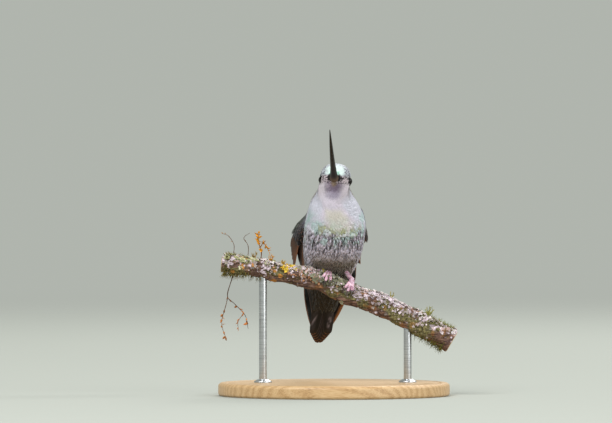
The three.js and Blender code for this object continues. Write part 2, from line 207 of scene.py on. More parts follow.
def newMaterial(name, **values):
    # A Principled surface, with the values that are the same all over on its own sockets
    material = bpy.data.materials.new(name)
    material.use_nodes = True
    tree = material.node_tree
    tree.nodes.clear()
    shader = addNode(tree, "ShaderNodeBsdfPrincipled",
                     {key.replace("_", " "): value for key, value in values.items()})
    addNode(tree, "ShaderNodeOutputMaterial", {"Surface": shader})
    return material, tree, shader


def dress(tree, shader, colour, bump=None, **patterns):
    # Feeds the shader its patterns. A bump is a height, its strength and its depth in metres
    if bump:
        patterns["Normal"] = addNode(tree, "ShaderNodeBump",
                                     dict(zip(("Height", "Strength", "Distance"), bump)))
    for name, source in {"Base Color": colour, **patterns}.items():
        socket = source.outputs[0] if isinstance(source, bpy.types.Node) else source
        tree.links.new(socket, shader.inputs[name])


def writeMesh(name, points, quads, tris, material, slot=None, replaces=(), fields=None, bakeMap=None,
              sharp=None):
    # Puts arrays into a mesh: points in mm, faces as rows of corners, one field value a point
    points = np.asarray(points, float).reshape(-1, 3) * mm
    quads = np.asarray(quads, int).reshape(-1, 4)
    tris = np.asarray(tris, int).reshape(-1, 3)
    solid = np.concatenate([quads[:, [0, 1, 2]], quads[:, [0, 2, 3]], tris])
    a, b, c = points[solid[:, 0]], points[solid[:, 1]], points[solid[:, 2]]
    if np.einsum("ij,ij->", a, np.cross(b, c)) < 0:  # inside out: turn every face round
        quads, tris = quads[:, ::-1], tris[:, ::-1]
    corners = np.concatenate([quads.ravel(), tris.ravel()])
    starts = np.concatenate([np.arange(len(quads)) * 4, len(quads) * 4 + np.arange(len(tris)) * 3])
    mesh = bpy.data.meshes.new(name)
    mesh.vertices.add(len(points))
    mesh.vertices.foreach_set("co", points.astype(np.float32).ravel())
    mesh.loops.add(len(corners))
    mesh.loops.foreach_set("vertex_index", corners.astype(np.int32))
    mesh.polygons.add(len(starts))
    mesh.polygons.foreach_set("loop_start", starts.astype(np.int32))
    mesh.update(calc_edges=True)
    mesh.validate()
    for key, values in (fields or {}).items():
        values = np.asarray(values, np.float32)
        kind, part = ("FLOAT", "value") if values.ndim == 1 else ("FLOAT_VECTOR", "vector")
        mesh.attributes.new(key, kind, "POINT").data.foreach_set(part, values.ravel())
    if bakeMap is not None:
        flat = np.asarray(bakeMap, np.float32)[corners]
        mesh.uv_layers.new(name="OFBake").data.foreach_set("uv", flat.ravel())
    mesh.shade_smooth()
    if sharp:
        mesh.set_sharp_from_angle(angle=math.radians(sharp))
    mesh.materials.append(material)
    piece = bpy.data.objects.new(name, mesh)
    bpy.context.scene.collection.objects.link(piece)
    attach(piece, "root")
    if slot:
        assert slot in slots, slot
    if replaces:
        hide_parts(*replaces)


def sideFaces(rings, sides, closed=False):
    # Quads from each ring to the next, and where closed, from the last ring to the first
    i, k = np.meshgrid(np.arange(rings if closed else rings - 1), np.arange(sides), indexing="ij")
    j, m = (i + 1) % rings, (k + 1) % sides
    return np.stack([i * sides + k, i * sides + m, j * sides + m, j * sides + k], -1).reshape(-1, 4)


def tubeFaces(rings, sides):
    # Quads between the rings, and a fan at each end to a pole point stored after the rings
    k = np.arange(sides)
    first = np.stack([np.full(sides, rings * sides), (k + 1) % sides, k], -1)
    end = (rings - 1) * sides
    last = np.stack([np.full(sides, rings * sides + 1), end + k, end + (k + 1) % sides], -1)
    return sideFaces(rings, sides), np.concatenate([first, last])


def tubePoints(rings):  # the rings' values, then the means of the first ring and the last
    return np.concatenate([rings.reshape(-1, *rings.shape[2:]), rings[:1].mean(1), rings[-1:].mean(1)])


def addTube(name, rings, material, fields=None, bakeMap=None, **facts):
    # Closed rings as one piece; its fields and its map are tables with a value for each point
    quads, tris = tubeFaces(*rings.shape[:2])
    fields = {key: tubePoints(values) for key, values in (fields or {}).items()}
    bakeMap = None if bakeMap is None else tubePoints(bakeMap)
    writeMesh(name, tubePoints(rings), quads, tris, material, fields=fields, bakeMap=bakeMap, **facts)


def joined(meshes):  # the points, quads and tris of several meshes as those of one
    points, quads, tris, start = [], [], [], 0
    for p, q, t in meshes:
        points.append(p)
        quads.append(q + start)
        tris.append(t + start)
        start += len(p)
    return np.concatenate(points), np.concatenate(quads), np.concatenate(tris)


def joinTubes(tubes):  # many tubes of any size
    return joined([(tubePoints(rings), *tubeFaces(*rings.shape[:2])) for rings in tubes])


def manyTubes(rings):
    # Many tubes of one size at once: rings is tubes by rings by sides by 3
    count, length, sides = rings.shape[:3]
    quads, tris = tubeFaces(length, sides)
    ends = np.stack([rings[:, 0].mean(1), rings[:, -1].mean(1)], 1)
    points = np.concatenate([rings.reshape(count, -1, 3), ends], 1)
    shift = (np.arange(count) * points.shape[1])[:, None, None]
    return points.reshape(-1, 3), (quads + shift).reshape(-1, 4), (tris + shift).reshape(-1, 3)


def eachTube(values, rings):  # a value for each of many tubes, as one for each of their points
    return np.repeat(values, rings.shape[1] * rings.shape[2] + 2, axis=0)


def sweep(path, radii, sides, run=(1, 0, -0.335)):
    # Rings round a path: at each of its points a circle square to it, radii from the path's middle
    path = np.asarray(path, float)
    ahead = unit(np.gradient(path, axis=0))
    across = unit(np.cross(ahead, np.asarray(run, float)))
    over = np.cross(ahead, across)
    angle = circle(sides)
    radii = np.broadcast_to(np.asarray(radii, float).reshape(len(path), -1), (len(path), sides))
    return (path[:, None] + across[:, None] * (radii * np.cos(angle))[..., None]
            + over[:, None] * (radii * np.sin(angle))[..., None])


def makeSurface(shape, span, rows, sides):
    # A table of shape(t, angle) with its columns spaced evenly along each ring, its outward
    # directions, the stretch along t at each place and the way round each ring
    t = np.linspace(*span, rows)
    angle = np.linspace(0, 2 * np.pi, 721)
    fine = shape(t[:, None], angle[None])
    steps = np.linalg.norm(np.diff(fine, axis=1), axis=-1)
    walked = np.concatenate([np.zeros((rows, 1)), np.cumsum(steps, 1)], 1)
    even = np.linspace(0, 1, sides + 1)
    turn = np.stack([np.interp(even, w / w[-1], angle) for w in walked])
    grid = shape(t[:, None], turn)
    along = np.gradient(grid, t, axis=0)
    wrapped = np.concatenate([grid[:, -2:-1], grid, grid[:, 1:2]], 1)
    around = (wrapped[:, 2:] - wrapped[:, :-2]) / (2 / sides)
    out = unit(np.cross(around, along))
    if np.sum(out * (grid - grid.mean(1, keepdims=True))) < 0:  # a mirrored shape
        out = -out
    return {"t": t, "sides": sides, "grid": grid, "out": out, "turn": turn, "ring": walked[:, -1],
            "stretch": np.linalg.norm(along, axis=-1)}


def readTable(surface, key, t, u):
    # The table's value between its four nearest places; u goes round from 0 to 1
    rows, table = surface["t"], surface[key]
    i = np.clip((t - rows[0]) / (rows[1] - rows[0]), 0, len(rows) - 1.0001)
    i0 = i.astype(int)
    f = i - i0
    if key == "ring":
        return lerp(table[i0], table[i0 + 1], f)
    k = (u % 1.0) * surface["sides"]
    k0 = np.minimum(k.astype(int), surface["sides"] - 1)
    g = k - k0
    if table.ndim == 3:
        f, g = f[..., None], g[..., None]
    low = lerp(table[i0, k0], table[i0, k0 + 1], g)
    high = lerp(table[i0 + 1, k0], table[i0 + 1, k0 + 1], g)
    return lerp(low, high, f)


def onSurface(surface, t, u, over):
    place = readTable(surface, "grid", t, u)
    return place + unit(readTable(surface, "out", t, u)) * np.asarray(over)[..., None]


def rowsOver(surface, span, lengthAt, widthAt, seed, closer=0.62, layers=3.0):
    # Staggered rows of roots: as many rows in a feather's length as there are layers, and in a
    # row a feather every closer of a width, each moved a little at random
    draw = np.random.default_rng(seed)
    found, t, row = [], span[0], 0
    while t < span[1]:
        here = np.array([t])
        count = max(5, int(readTable(surface, "ring", here, here)[0] / (closer * widthAt(t))))
        i = int(np.clip(np.searchsorted(surface["t"], t), 0, len(surface["t"]) - 1))
        stretch = surface["stretch"][i].mean()
        u = (np.arange(count) + 0.5 * (row % 2) + draw.uniform(-0.22, 0.22, count)) / count
        step = lengthAt(t) / layers / stretch
        found.append(np.stack([t + draw.uniform(-0.25, 0.25, count) * step, u % 1.0,
                               np.full(count, stretch)]))
        t, row = t + step, row + 1
    return np.concatenate(found, 1)


def vaneFaces(count, rings, across):
    # Each vane is a closed thin spindle: a ring of across points on top and one keel point below
    side = across + 1
    k = np.arange(1, across)
    first = np.stack([np.zeros_like(k), k + 1, k], -1)
    end = (rings - 1) * side
    last = np.stack([np.full_like(k, end), end + k, end + k + 1], -1)
    shift = (np.arange(count) * rings * side)[:, None, None]
    return ((sideFaces(rings, side) + shift).reshape(-1, 4),
            (np.concatenate([first, last]) + shift).reshape(-1, 3))


vaneFacts = {  # what all contour feathers have in common; lengths in mm
    "round": 0.62, "point": 0.16, "jag": 0.09,  # the rounding of its sides, its tip, its barbs' ends
    "sway": 0.10, "camber": 0.09, "thin": 0.04, "thick": 0.05,
    "patch": 0.003,  # its size on the bake map
}


def vaneShape(s):  # half width along a contour feather, 1 at its broadest
    broad = np.sin(np.pi * np.clip(0.12 + 0.80 * s, 0, 1) ** 0.85) ** vaneFacts["round"]
    return np.maximum(broad, vaneFacts["point"])


def addFlock(name, surface, roots, sizes, paint, material, slot, seed, rings=6, across=5,
             clear=None, swell=2.6):
    # Vanes over a surface. A vane's point lies s along and c across it, carried over the surface
    # itself, and rises as 1 - (1 - s)^swell from the skin to the coat's full depth at its tip
    t0, u0, mean = roots
    draw = np.random.default_rng(seed)
    count = len(t0)
    long, wide, depth, rise = (np.broadcast_to(v, (count,)).astype(float) for v in sizes(t0, u0))
    stretch = readTable(surface, "stretch", t0, u0)
    long = long * np.clip(stretch / mean, 0.65, 1.45) * draw.uniform(0.88, 1.15, count)
    wide = wide * draw.uniform(0.9, 1.12, count)
    sway = draw.normal(0, vaneFacts["sway"], count)
    lift = draw.uniform(0.97, 1.05, count)
    chance = draw.random(count)
    turn, place = readTable(surface, "turn", t0, u0), readTable(surface, "grid", t0, u0)
    girth = readTable(surface, "ring", t0, u0)
    tRoot, uRoot, girth, long, wide, depth, rise, sway, lift, stretch = (
        v[:, None, None] for v in (t0, u0, girth, long, wide, depth, rise, sway, lift, stretch))
    s = np.linspace(0, 1, rings)[None, :, None]
    c = np.linspace(-1, 1, across)[None, None, :]
    half = wide / 2 * vaneShape(s)
    jag = vaneFacts["jag"] * np.where(np.arange(across) % 2, 1, -1)[None, None, :] * (s > 0.99)
    reach = long * (s - 0.16 * c**2 * s + jag)
    aside = c * half + sway * reach
    over = (-depth + (depth + rise) * (1 - (1 - s) ** swell) * lift
            + vaneFacts["camber"] * half * (1 - c**2) - 0.02)
    keel = (over[:, :, across // 2, None] - vaneFacts["thin"] - vaneFacts["thick"] * (1 - s)
            - 0.5 * vaneFacts["camber"] * half)
    reach = np.concatenate([reach, reach[:, :, across // 2, None]], 2)
    aside = np.concatenate([aside, aside[:, :, across // 2, None]], 2)
    over = np.concatenate([over, keel], 2)
    places = onSurface(surface, tRoot + reach / stretch, uRoot + aside / girth, over)
    if clear:
        places = clear(places)
    c = np.broadcast_to(np.concatenate([c, np.zeros((1, 1, 1))], 2), over.shape)
    s = np.broadcast_to(s, over.shape)
    colour, gloss = paint(t0, turn, s, c, chance, place)
    quads, tris = vaneFaces(count, rings, across)
    patch = np.stack([uRoot + vaneFacts["patch"] / 2 * c,
                      (tRoot - surface["t"][0]) / np.ptp(surface["t"]) + vaneFacts["patch"] * s], -1)
    writeMesh(name, places, quads, tris, material, slot, bakeMap=np.clip(patch.reshape(-1, 2), 0, 1),
              fields={"plume": colour.reshape(-1, 3), "gloss": gloss.ravel(),
                      "vane": np.stack(np.broadcast_arrays(c, s, long), -1).reshape(-1, 3)})
    print(f"{name}: {count} vanes, {len(quads) * 2 + len(tris)} triangles")


# The body, from the face round the bill (0) to the ends of the tail coverts (14)
body = {
    "turn": math.radians(10.4),
    "headTurn": math.radians(-15.4),
    "headRoll": math.radians(3),
    "headCentre": (0, -9, 82),
    "neckPivot": (0, -5, 78),
    "headEnds": (4.8, 8),  # along the body, the head's turn and roll die away between these
    "back": [(-15.9, 84.3), (-14.7, 86.0), (-12.7, 87.5), (-10.0, 88.2), (-6.6, 87.8),
             (-3.2, 85.3), (-0.6, 81.6), (2.4, 76.8), (6.2, 70.8), (10.4, 63.6), (14.2, 56.2),
             (17.3, 49.4), (19.9, 43.6), (22.6, 37.6), (26.0, 30.6), (29.4, 23.6)],
    "belly": [(-15.9, 81.7), (-15.8, 80.2), (-15.6, 78.6), (-15.2, 76.8), (-14.8, 74.8),
              (-14.5, 72.6), (-14.2, 70.0), (-13.9, 66.8), (-13.0, 62.4), (-10.8, 57.4),
              (-7.0, 52.2), (-1.6, 47.8), (5.6, 42.8), (12.8, 36.0), (21.2, 28.6), (29.6, 21.2)],
    "half": [1.4, 3.0, 4.2, 4.9, 5.5, 5.6, 6.7, 9.4, 11.2, 11.5, 10.9, 9.4, 7.2, 5.6, 3.9, 2.2],
    "backFullness": 0.75,
    # the feathers over the eyes stand out a little: how far, and where along the body and round it
    "brow": 0.7, "browAlong": (0.8, 2.6, 4.2, 5.4), "browRound": (0.1, 0.75, 1.05, 1.5),
    "lean": 0.7, "leanAlong": (3.8, 5, 6.6, 8.2),  # of the neck, towards the bird's right
    # at each step along it: the coat's depth, and the length and width of a feather
    "depth": [0.22, 0.25, 0.28, 0.32, 0.35, 0.38, 0.4, 0.45, 0.7, 0.95, 1.0, 1.0, 0.9, 0.8, 0.6, 0.5],
    "long": [0.8, 0.9, 1.0, 1.1, 1.25, 1.45, 1.65, 1.9, 3.2, 4.0, 4.2, 4.4, 4.8, 5.6, 6.0, 6.0],
    "wide": [0.62, 0.66, 0.7, 0.78, 0.88, 0.98, 1.06, 1.15, 1.6, 2.1, 2.0, 1.9, 2.1, 2.4, 2.6, 2.6],
}


def onBird(p, share=0.0):  # from the bird's own frame to the part's, with a share of the head's pose
    rolled = turnPoints(p, body["headRoll"] * share, aboutY, body["headCentre"])
    posed = turnPoints(rolled, body["headTurn"] * share, aboutZ, body["neckPivot"])
    return turnPoints(posed, body["turn"], aboutZ)


def inHead(p):  # from the part's frame back to the head's own, before its roll and turn
    q = turnPoints(turnPoints(p, -body["turn"], aboutZ), -body["headTurn"], aboutZ, body["neckPivot"])
    return turnPoints(q, -body["headRoll"], aboutY, body["headCentre"])


def bodyShape(t, angle):
    # middle + arm * cos(angle) + half width * sin(angle), where arm runs from the middle of the
    # section to the back; angle 0 is the back, and there the sine is raised to a power below 1 to
    # fill it out. The brow is added to the half width, and the neck leans aside as a whole
    back, belly = (np.stack(np.broadcast_arrays(0, *np.moveaxis(splineAt(body[key], t), -1, 0)), -1)
                   for key in ("back", "belly"))
    t, angle = np.broadcast_arrays(t, angle)
    middle, arm = (back + belly) / 2, (back - belly) / 2
    sine, cosine = np.sin(angle), np.cos(angle)
    full = np.where(cosine > 0, lerp(1, body["backFullness"], cosine), 1)
    across = splineAt(body["half"], t) * np.sign(sine) * np.abs(sine) ** full
    fromBack = np.arccos(np.clip(cosine, -1, 1))
    brow = window(t, *body["browAlong"]) * window(fromBack, *body["browRound"])
    points = middle + arm * cosine[..., None]
    points[..., 0] += across + body["brow"] * brow * np.sign(sine) - body["lean"] * window(
        t, *body["leanAlong"])
    return onBird(points, fadeOut(t, *body["headEnds"]))


bodySkin = makeSurface(bodyShape, (0, 15), 481, 240)


def alongBody(key, t):
    return np.interp(t, np.arange(16), body[key])


# The perch: its middle line falls towards +X and sags, with one kink under the bird
perch = {"radius": 3.75, "thickening": 0.013, "height": 41, "fall": 0.335, "sag": 0.0028,
         "kink": 0.75, "kinkLong": 18, "sway": 1.2}
forwards = np.array([0, -1.0, 0])


def perchMiddle(x):
    kink = perch["kink"] * np.sin(x / 5) * np.exp(-(x / perch["kinkLong"]) ** 2)
    return np.stack([x, perch["sway"] * np.sin(x / 26),
                     perch["height"] - perch["fall"] * x - perch["sag"] * x**2 - kink], -1)


def perchAhead(x):
    return unit(perchMiddle(x + 0.5) - perchMiddle(x - 0.5))


def perchUp(x):  # square to the middle line, in the plane square to Y
    ahead = perchAhead(x)
    return unit(np.stack([-ahead[..., 2], np.zeros_like(x), ahead[..., 0]], -1))


def perchAway(x, angle):  # from the middle line to the bark
    knots = 0.22 * np.sin(0.45 * x + 2 * angle) + 0.12 * np.sin(0.9 * x - 3 * angle)
    return perch["radius"] + perch["thickening"] * x + knots


def perchPoint(x, angle, over=0.0):  # on the bark or over it; angle 0 is the top, growing forwards
    x, angle, over = np.broadcast_arrays(np.asarray(x, float), angle, over)
    away = (perchAway(x, angle) + over)[..., None]
    return perchMiddle(x) + away * (perchUp(x) * np.cos(angle)[..., None]
                                    + forwards * np.sin(angle)[..., None])


def perchFrame(x, angle):  # ahead along the branch, round it, and out of it
    out = unit(perchPoint(x, angle, 1.0) - perchPoint(x, angle))
    ahead = perchAhead(x)
    return ahead, np.cross(out, ahead), out


def clearOfPerch(p, least=0.25):
    # Moves points that would lie in the branch straight out of it, to just over its bark
    x = p[..., 0]
    for _ in range(3):  # the branch leans, so the nearest place on its line is found in steps
        middle, up = perchMiddle(x), perchUp(x)
        ahead = np.stack([up[..., 2], np.zeros_like(x), -up[..., 0]], -1)
        x = x + np.sum((p - middle) * ahead, -1) * ahead[..., 0]
    rise = np.sum((p - middle) * up, -1)
    front = -(p[..., 1] - middle[..., 1])
    need = perchAway(x, np.arctan2(front, rise)) + least
    away = np.hypot(rise, front)
    push = np.maximum(need - away, 0) / np.maximum(away, 0.5)
    return p + push[..., None] * (rise[..., None] * up + front[..., None] * forwards)


# Plumage: each marking's colour at a feather's edge and along its shaft, its gloss, and how far
# its dark shaft spreads
plumage = {
    "back": ("#565f48", "#343b2c", 0.35, 0.5),
    "nape": ("#6f5c43", "#45392a", 0.3, 0.4),
    "rump": ("#46585c", "#2b393e", 0.35, 0.4),
    "upperCoverts": ("#3f5049", "#27332f", 0.35, 0.4),
    "neckSide": ("#aca6b2", "#7e7884", 0.1, 0.6),
    "throat": ("#e4dae8", "#dad0df", 0.05, 0.15),
    "sides": ("#dcdae8", "#c9c8d6", 0.1, 0.2),
    "cream": ("#dfd9ca", "#d5cfbe", 0.05, 0.15),
    "turquoise": ("#a5d3c8", "#78a398", 0.3, 0.35),
    "olive": ("#b3b491", "#8c8c6c", 0.1, 0.6),
    "flanks": ("#d2ccd9", "#201c24", 0.1, 0.95),
    "streaks": ("#d6ccdf", "#060408", 0.1, 1.0),
    "lowBelly": ("#776c62", "#423930", 0.05, 0.6),
    # under-tail coverts: dark olive brown, darkened further by a painted shadow of the branch and the body
    "vent": ("#211a0e", "#19130a", 0.0, 0.3),
    "ear": ("#75696a", "#4b4241", 0.15, 0.5),
    "cheek": ("#dcd0d9", "#ccbfca", 0.05, 0.15),
    "lores": ("#ddcdd3", "#a08e97", 0.05, 0.5),
    "freckle": ("#2a2026", "#150f13", 0.05, 0.4),
    "silver": ("#c6cad2", "#878a98", 0.2, 0.35),
    "fleck": ("#605d69", "#3f3c48", 0.1, 0.5),
    "glitter": ("#e4f1ef", "#b9ddd4", 0.3, 0.1),
    "emerald": ("#57c9a0", "#2f9a78", 0.5, 0.3),
    "bib": ("#b3a8bd", "#9f94ac", 0.1, 0.2),
    "chin": ("#7f6e83", "#62546a", 0.1, 0.4),
    # gape: dark feathers at the bill's root, deepened by a painted shade where the bill meets the face
    "gape": ("#1d1715", "#0f0b0a", 0.1, 0.6),
    "root": ("#8b7563", "#66564a", 0.1, 0.5),
    "spot": ("#e9e7e2", "#d8d5cf", 0.05, 0.1),
}


def plumageAt(t, angle, chance, place):
    # Returns each feather's edge colour, shaft colour, gloss and how far its dark shaft spreads.
    # The markings are laid one over another: the body's by the way along it (t) and round it
    # (front), the face's by the place in the head's own frame
    x, y, z = np.moveaxis(inHead(place), -1, 0)
    x = np.abs(x)
    front = (1 - np.cos(angle)) / 2  # 0 along the back, 1 along the belly

    def lookOf(key):
        edge, shaft, gloss, streak = plumage[key]
        return np.concatenate([rgb(edge), rgb(shaft), [gloss, streak]])

    def lay(key, amount):
        looks[:] = lerp(looks, lookOf(key), amount[..., None])

    def oval(across, up, wide, tall):  # the distance from a place on the face, 1 at an oval's rim
        return np.hypot((x - across) / wide, (z - up) / tall)

    looks = np.broadcast_to(lookOf("back"), t.shape + (8,)).copy()
    wander = 0.06 * (chance - 0.5)
    under = smoothStep(front + wander, 0.30, 0.46)
    cloud = noiseAt(place, 2.4)
    lay("nape", fadeOut(t, 6.2, 8.0))
    lay("rump", window(t, 9.8, 10.6, 11.6, 12.4))
    lay("upperCoverts", smoothStep(t, 11.8, 12.6))
    lay("neckSide", under)
    lay("throat", smoothStep(front + wander, 0.48, 0.64))
    lay("sides", under * window(t, 4.2, 5.6, 9.0, 9.8) * fadeOut(front, 0.84, 0.93))
    lay("cream", smoothStep(front, 0.90, 0.99) * window(t, 5.0, 6.0, 7.5, 8.2) * lerp(0.4, 0.95, cloud))
    lay("turquoise", window(t, 6.4, 7.5, 8.3, 8.9) * under
        * lerp(0.6, 0.35, smoothStep(front, 0.82, 0.96)) * smoothStep(cloud + 0.25 * chance, 0.35, 0.85))
    lay("olive", window(t, 7.1, 7.6, 7.9, 8.3) * smoothStep(front, 0.75, 0.9)
        * smoothStep(noiseAt(place + 30, 1.6) + 0.15 * chance, 0.45, 0.75))
    lay("flanks", under * fadeOut(front, 0.60, 0.78) * window(t, 7.6, 8.6, 11.2, 12))
    ragged = t + 4 * wander + 0.5 * (noiseAt(place, 1.2) - 0.5)
    lay("streaks", window(ragged, 7.85, 8.15, 9.4, 10.1) * smoothStep(front, 0.58, 0.74))
    spots = under * window(t, 7.5, 8.0, 8.5, 9.0) * smoothStep(noiseAt(place + 60, 1.8), 0.5, 0.62)
    looks[..., :3] = lerp(looks[..., :3], rgb(plumage["turquoise"][0]), 0.55 * spots[..., None])
    lay("lowBelly", window(t, 9.1, 10.1, 12.5, 13) * smoothStep(front, 0.68, 0.84))
    # the under-tail coverts, with a painted shadow of the branch and the body in their colour
    lay("vent", smoothStep(t, 10.6, 11.4) * smoothStep(front, 0.18, 0.34))
    # the head
    soft = 5 * wander + 0.9 * (noiseAt(place, 1.3) - 0.5)
    head = fadeOut(t, 4.4, 5.8)
    face = head * fadeOut(y, -10.4, -8.6)
    crown = head * fadeOut(y, -9.5, -4.5)
    lay("ear", head * window(z, 74.5, 77.5, 83.2, 84.6) * smoothStep(y, -11.4, -9.6))
    lay("cheek", face * window(z, 74.5, 79.5, 81.2, 82.0) * 0.8)
    band = face * window(z + 0.4 * soft, 80.6, 81.4, 83.5, 84.1)
    lay("lores", band)
    lay("freckle", band * (chance > 0.5))
    lay("silver", crown * smoothStep(z + 0.4 * soft, 83.3, 84.1))
    lay("fleck", crown * smoothStep(z, 83.6, 84.4) * smoothStep(x + soft, 1.9, 3.6) * (chance > 0.56))
    bright = face * smoothStep(z, 83.5, 84.2) * fadeOut(y, -14.2, -12.4)
    lay("glitter", bright * fadeOut(x + soft, 1.9, 3.6))
    lay("emerald", bright * 0.6 * fadeOut(oval(1.1, 84.4, 0.5, 0.8), 0.3, 1.2))
    lay("bib", face * fadeOut(oval(0, 77.6, 2.8, 2.2) + 0.5 * soft, 0.3, 1.4))
    lay("chin", face * fadeOut(oval(0, 80.0, 3.1, 2.0) + 0.5 * soft, 0.3, 1.4))
    # round the bill's root: dark feathers with a painted shade where the bill meets the face
    lay("gape", face * fadeOut(oval(1.35, 83.0, 0.7, 1.1) + 0.3 * soft, 0.6, 1.3))
    lay("root", face * fadeOut(oval(0, 81.2, 1.0, 1.3), 0.4, 1.2))
    lay("spot", fadeOut(np.hypot(y + 7.0, z - 82.7), 0.5, 0.9))
    return looks[..., :3], looks[..., 3:6], looks[..., 6], looks[..., 7]


def paintBody(t, angle, s, c, chance, place):
    # The shaft's colour down the middle of the vane, its edge's colour at the sides and the tip
    edge, shaft, gloss, streak = plumageAt(t, angle, chance, place)
    strong = smoothStep(noiseAt(place, 1.8) + 0.6 * (chance - 0.5), 0.28, 0.55)
    bold = fadeOut(t, 8.5, 9.5)
    calm = fadeOut(streak, 0.2, 0.6)
    gloss, streak, chance, strong, bold, calm = (
        v[:, None, None] for v in (gloss, streak, chance, strong, bold, calm))
    middle = fadeOut(np.abs(c) / (0.25 + 0.5 * streak), 0.35, 1.0) * (0.35 + 0.65 * streak)
    middle = middle * (1 - 0.5 * smoothStep(s, 0.75, 1.0))
    # where the plumage is streaked, each feather has a dark streak half a millimetre wide down
    # its middle, stronger on some than on others; on the face it is a fleck
    narrow = fadeOut(np.abs(c + 0.25 * np.sin(9 * chance) * s), 0.2 + 0.14 * bold, 0.45 + 0.2 * bold)
    dark = narrow * lerp(0.45, 1.0, strong) * smoothStep(s, 0.1, 0.3) * (1 - 0.4 * smoothStep(s, 0.92, 1))
    middle = lerp(middle, dark, smoothStep(streak, 0.75, 0.95))
    # each feather's tone differs a little at random; where the plumage is streaked, a painted shade also
    # darkens each vane towards its root, under the row that overlaps it
    shade = lerp(0.86 + 0.28 * chance, 0.96 + 0.08 * chance, calm)
    shade = shade * lerp(lerp(0.6, 1.0, calm), 1.0, smoothStep(s, 0.1, 0.6))
    colour = lerp(edge[:, None, None], shaft[:, None, None], middle[..., None]) * shade[..., None]
    return np.clip(colour, 0, 1), np.broadcast_to(gloss, s.shape)


def barbPattern(tree, phase, gap, groove, mottle, relief):
    # Barbs as sin(2 pi phase / gap) in the colour and the relief, over a soft mottle; phase and
    # gap are in mm, and mottle is its noise's scale and detail, its darkest and its lightest
    barbs = addMath(tree, "SINE", addMath(tree, "MULTIPLY", phase, 2 * math.pi / gap))
    scale, detail, low, high = mottle
    soft = spreadTo(tree, addNoise(tree, placeOn(tree), scale, detail), low, high)
    shade = addMath(tree, "MULTIPLY_ADD", barbs, groove, soft)
    return scaleBy(tree, readField(tree, "plume"), shade), (barbs, *relief)


# Contour feathers: soft keratin barbs hooked into a vane, which give a satin, slightly napped
# look, with a metallic lustre where the barbs are structural
plume, tree, shader = newMaterial("contour feather", Roughness=0.62, IOR=1.5, Sheen_Weight=0.07,
                                  Sheen_Roughness=0.5, Specular_IOR_Level=0.22,
                                  Subsurface_Weight=0.3, Subsurface_Scale=0.0004,
                                  Subsurface_Radius=(1.0, 0.9, 0.85))
acrossVane, alongVane, vaneLong = partsOf(tree, readField(tree, "vane"))
# barbs leave the shaft forwards at about 35 degrees; drawn 0.25 mm apart, coarser than real ones
phase = addMath(tree, "MULTIPLY_ADD", addMath(tree, "ABSOLUTE", acrossVane), -0.9,
                addMath(tree, "MULTIPLY", alongVane, vaneLong))
colour, bump = barbPattern(tree, phase, 0.25, 0.06, (1400.0, 3.0, 0.82, 1.18), (0.25, 0.00004))
gloss = readField(tree, "gloss", "Fac")
dress(tree, shader, colour, bump, Metallic=addMath(tree, "MULTIPLY", gloss, 0.55),
      Roughness=spreadTo(tree, gloss, 0.66, 0.36))

# The skin under the coat: downy, the same markings as the feathers but darker in their shade
t, u = np.meshgrid(np.linspace(0, 13.3, 214), np.arange(200) / 200, indexing="ij")
edge, shaft, gloss, _ = plumageAt(t, readTable(bodySkin, "turn", t, u), np.full(t.shape, 0.5),
                                  readTable(bodySkin, "grid", t, u))
addTube("body_skin", clearOfPerch(onSurface(bodySkin, t, u, -alongBody("depth", t))), plume,
        slot="body_feathers", replaces=("head", "neck", "trunk", "tail_coverts"),
        fields={"plume": lerp(edge, shaft, 0.3) * 0.9, "gloss": gloss * 0.3,
                "vane": np.stack([0 * t, t, 0 * t + 6], -1)},
        bakeMap=np.stack([u, t / 15], -1))
print("skin made")

# Eyes: the boxes of the solids give their middles
eyeFacts = {"radius": 1.9, "faces": (0.97, -0.22, 0.06), "bulge": 0.04, "bare": 2.0,
            "lidAngle": 66, "narrowing": 5, "bead": 0.13, "beads": 24}


def eyeAxes(side):  # the eye's middle, the way it looks, up and across
    sign = 1 if side == "left" else -1
    way = np.array(eyeFacts["faces"]) * (sign, 1, 1)
    way = unit(onBird(way + np.array(body["headCentre"]), 1) - onBird(body["headCentre"], 1))
    up = unit(np.cross(np.cross(way, (0, 0, 1.0)), way))
    return sum(boxOf(f"eye_{side}")) / 2, way, up, np.cross(up, way)


def nearEye(p):  # true for places inside the bare ring round an eye
    found = np.zeros(p.shape[:-1], bool)
    for side in ("left", "right"):
        middle, way, _, _ = eyeAxes(side)
        ahead = (p - middle) @ way
        away = np.linalg.norm(p - middle - ahead[..., None] * way, axis=-1)
        found |= (ahead > 0) & (away < eyeFacts["bare"])
    return found


def coatSizes(t, u):
    return alongBody("long", t), alongBody("wide", t), alongBody("depth", t), 0.08 + 0.008 * t


def coatRoots(span, seed, layers):
    # Roots over a length of the body, without those whose vanes would lie over an eye
    t, u, mean = rowsOver(bodySkin, span, lambda t: float(alongBody("long", t)),
                          lambda t: float(alongBody("wide", t)), seed, layers=layers)
    stretch = readTable(bodySkin, "stretch", t, u)
    clear = np.ones(t.shape, bool)
    for share in (0, 0.5, 1.0):
        clear &= ~nearEye(onSurface(bodySkin, t + share * alongBody("long", t) / stretch, u, 0 * t))
    return t[clear], u[clear], mean[clear]


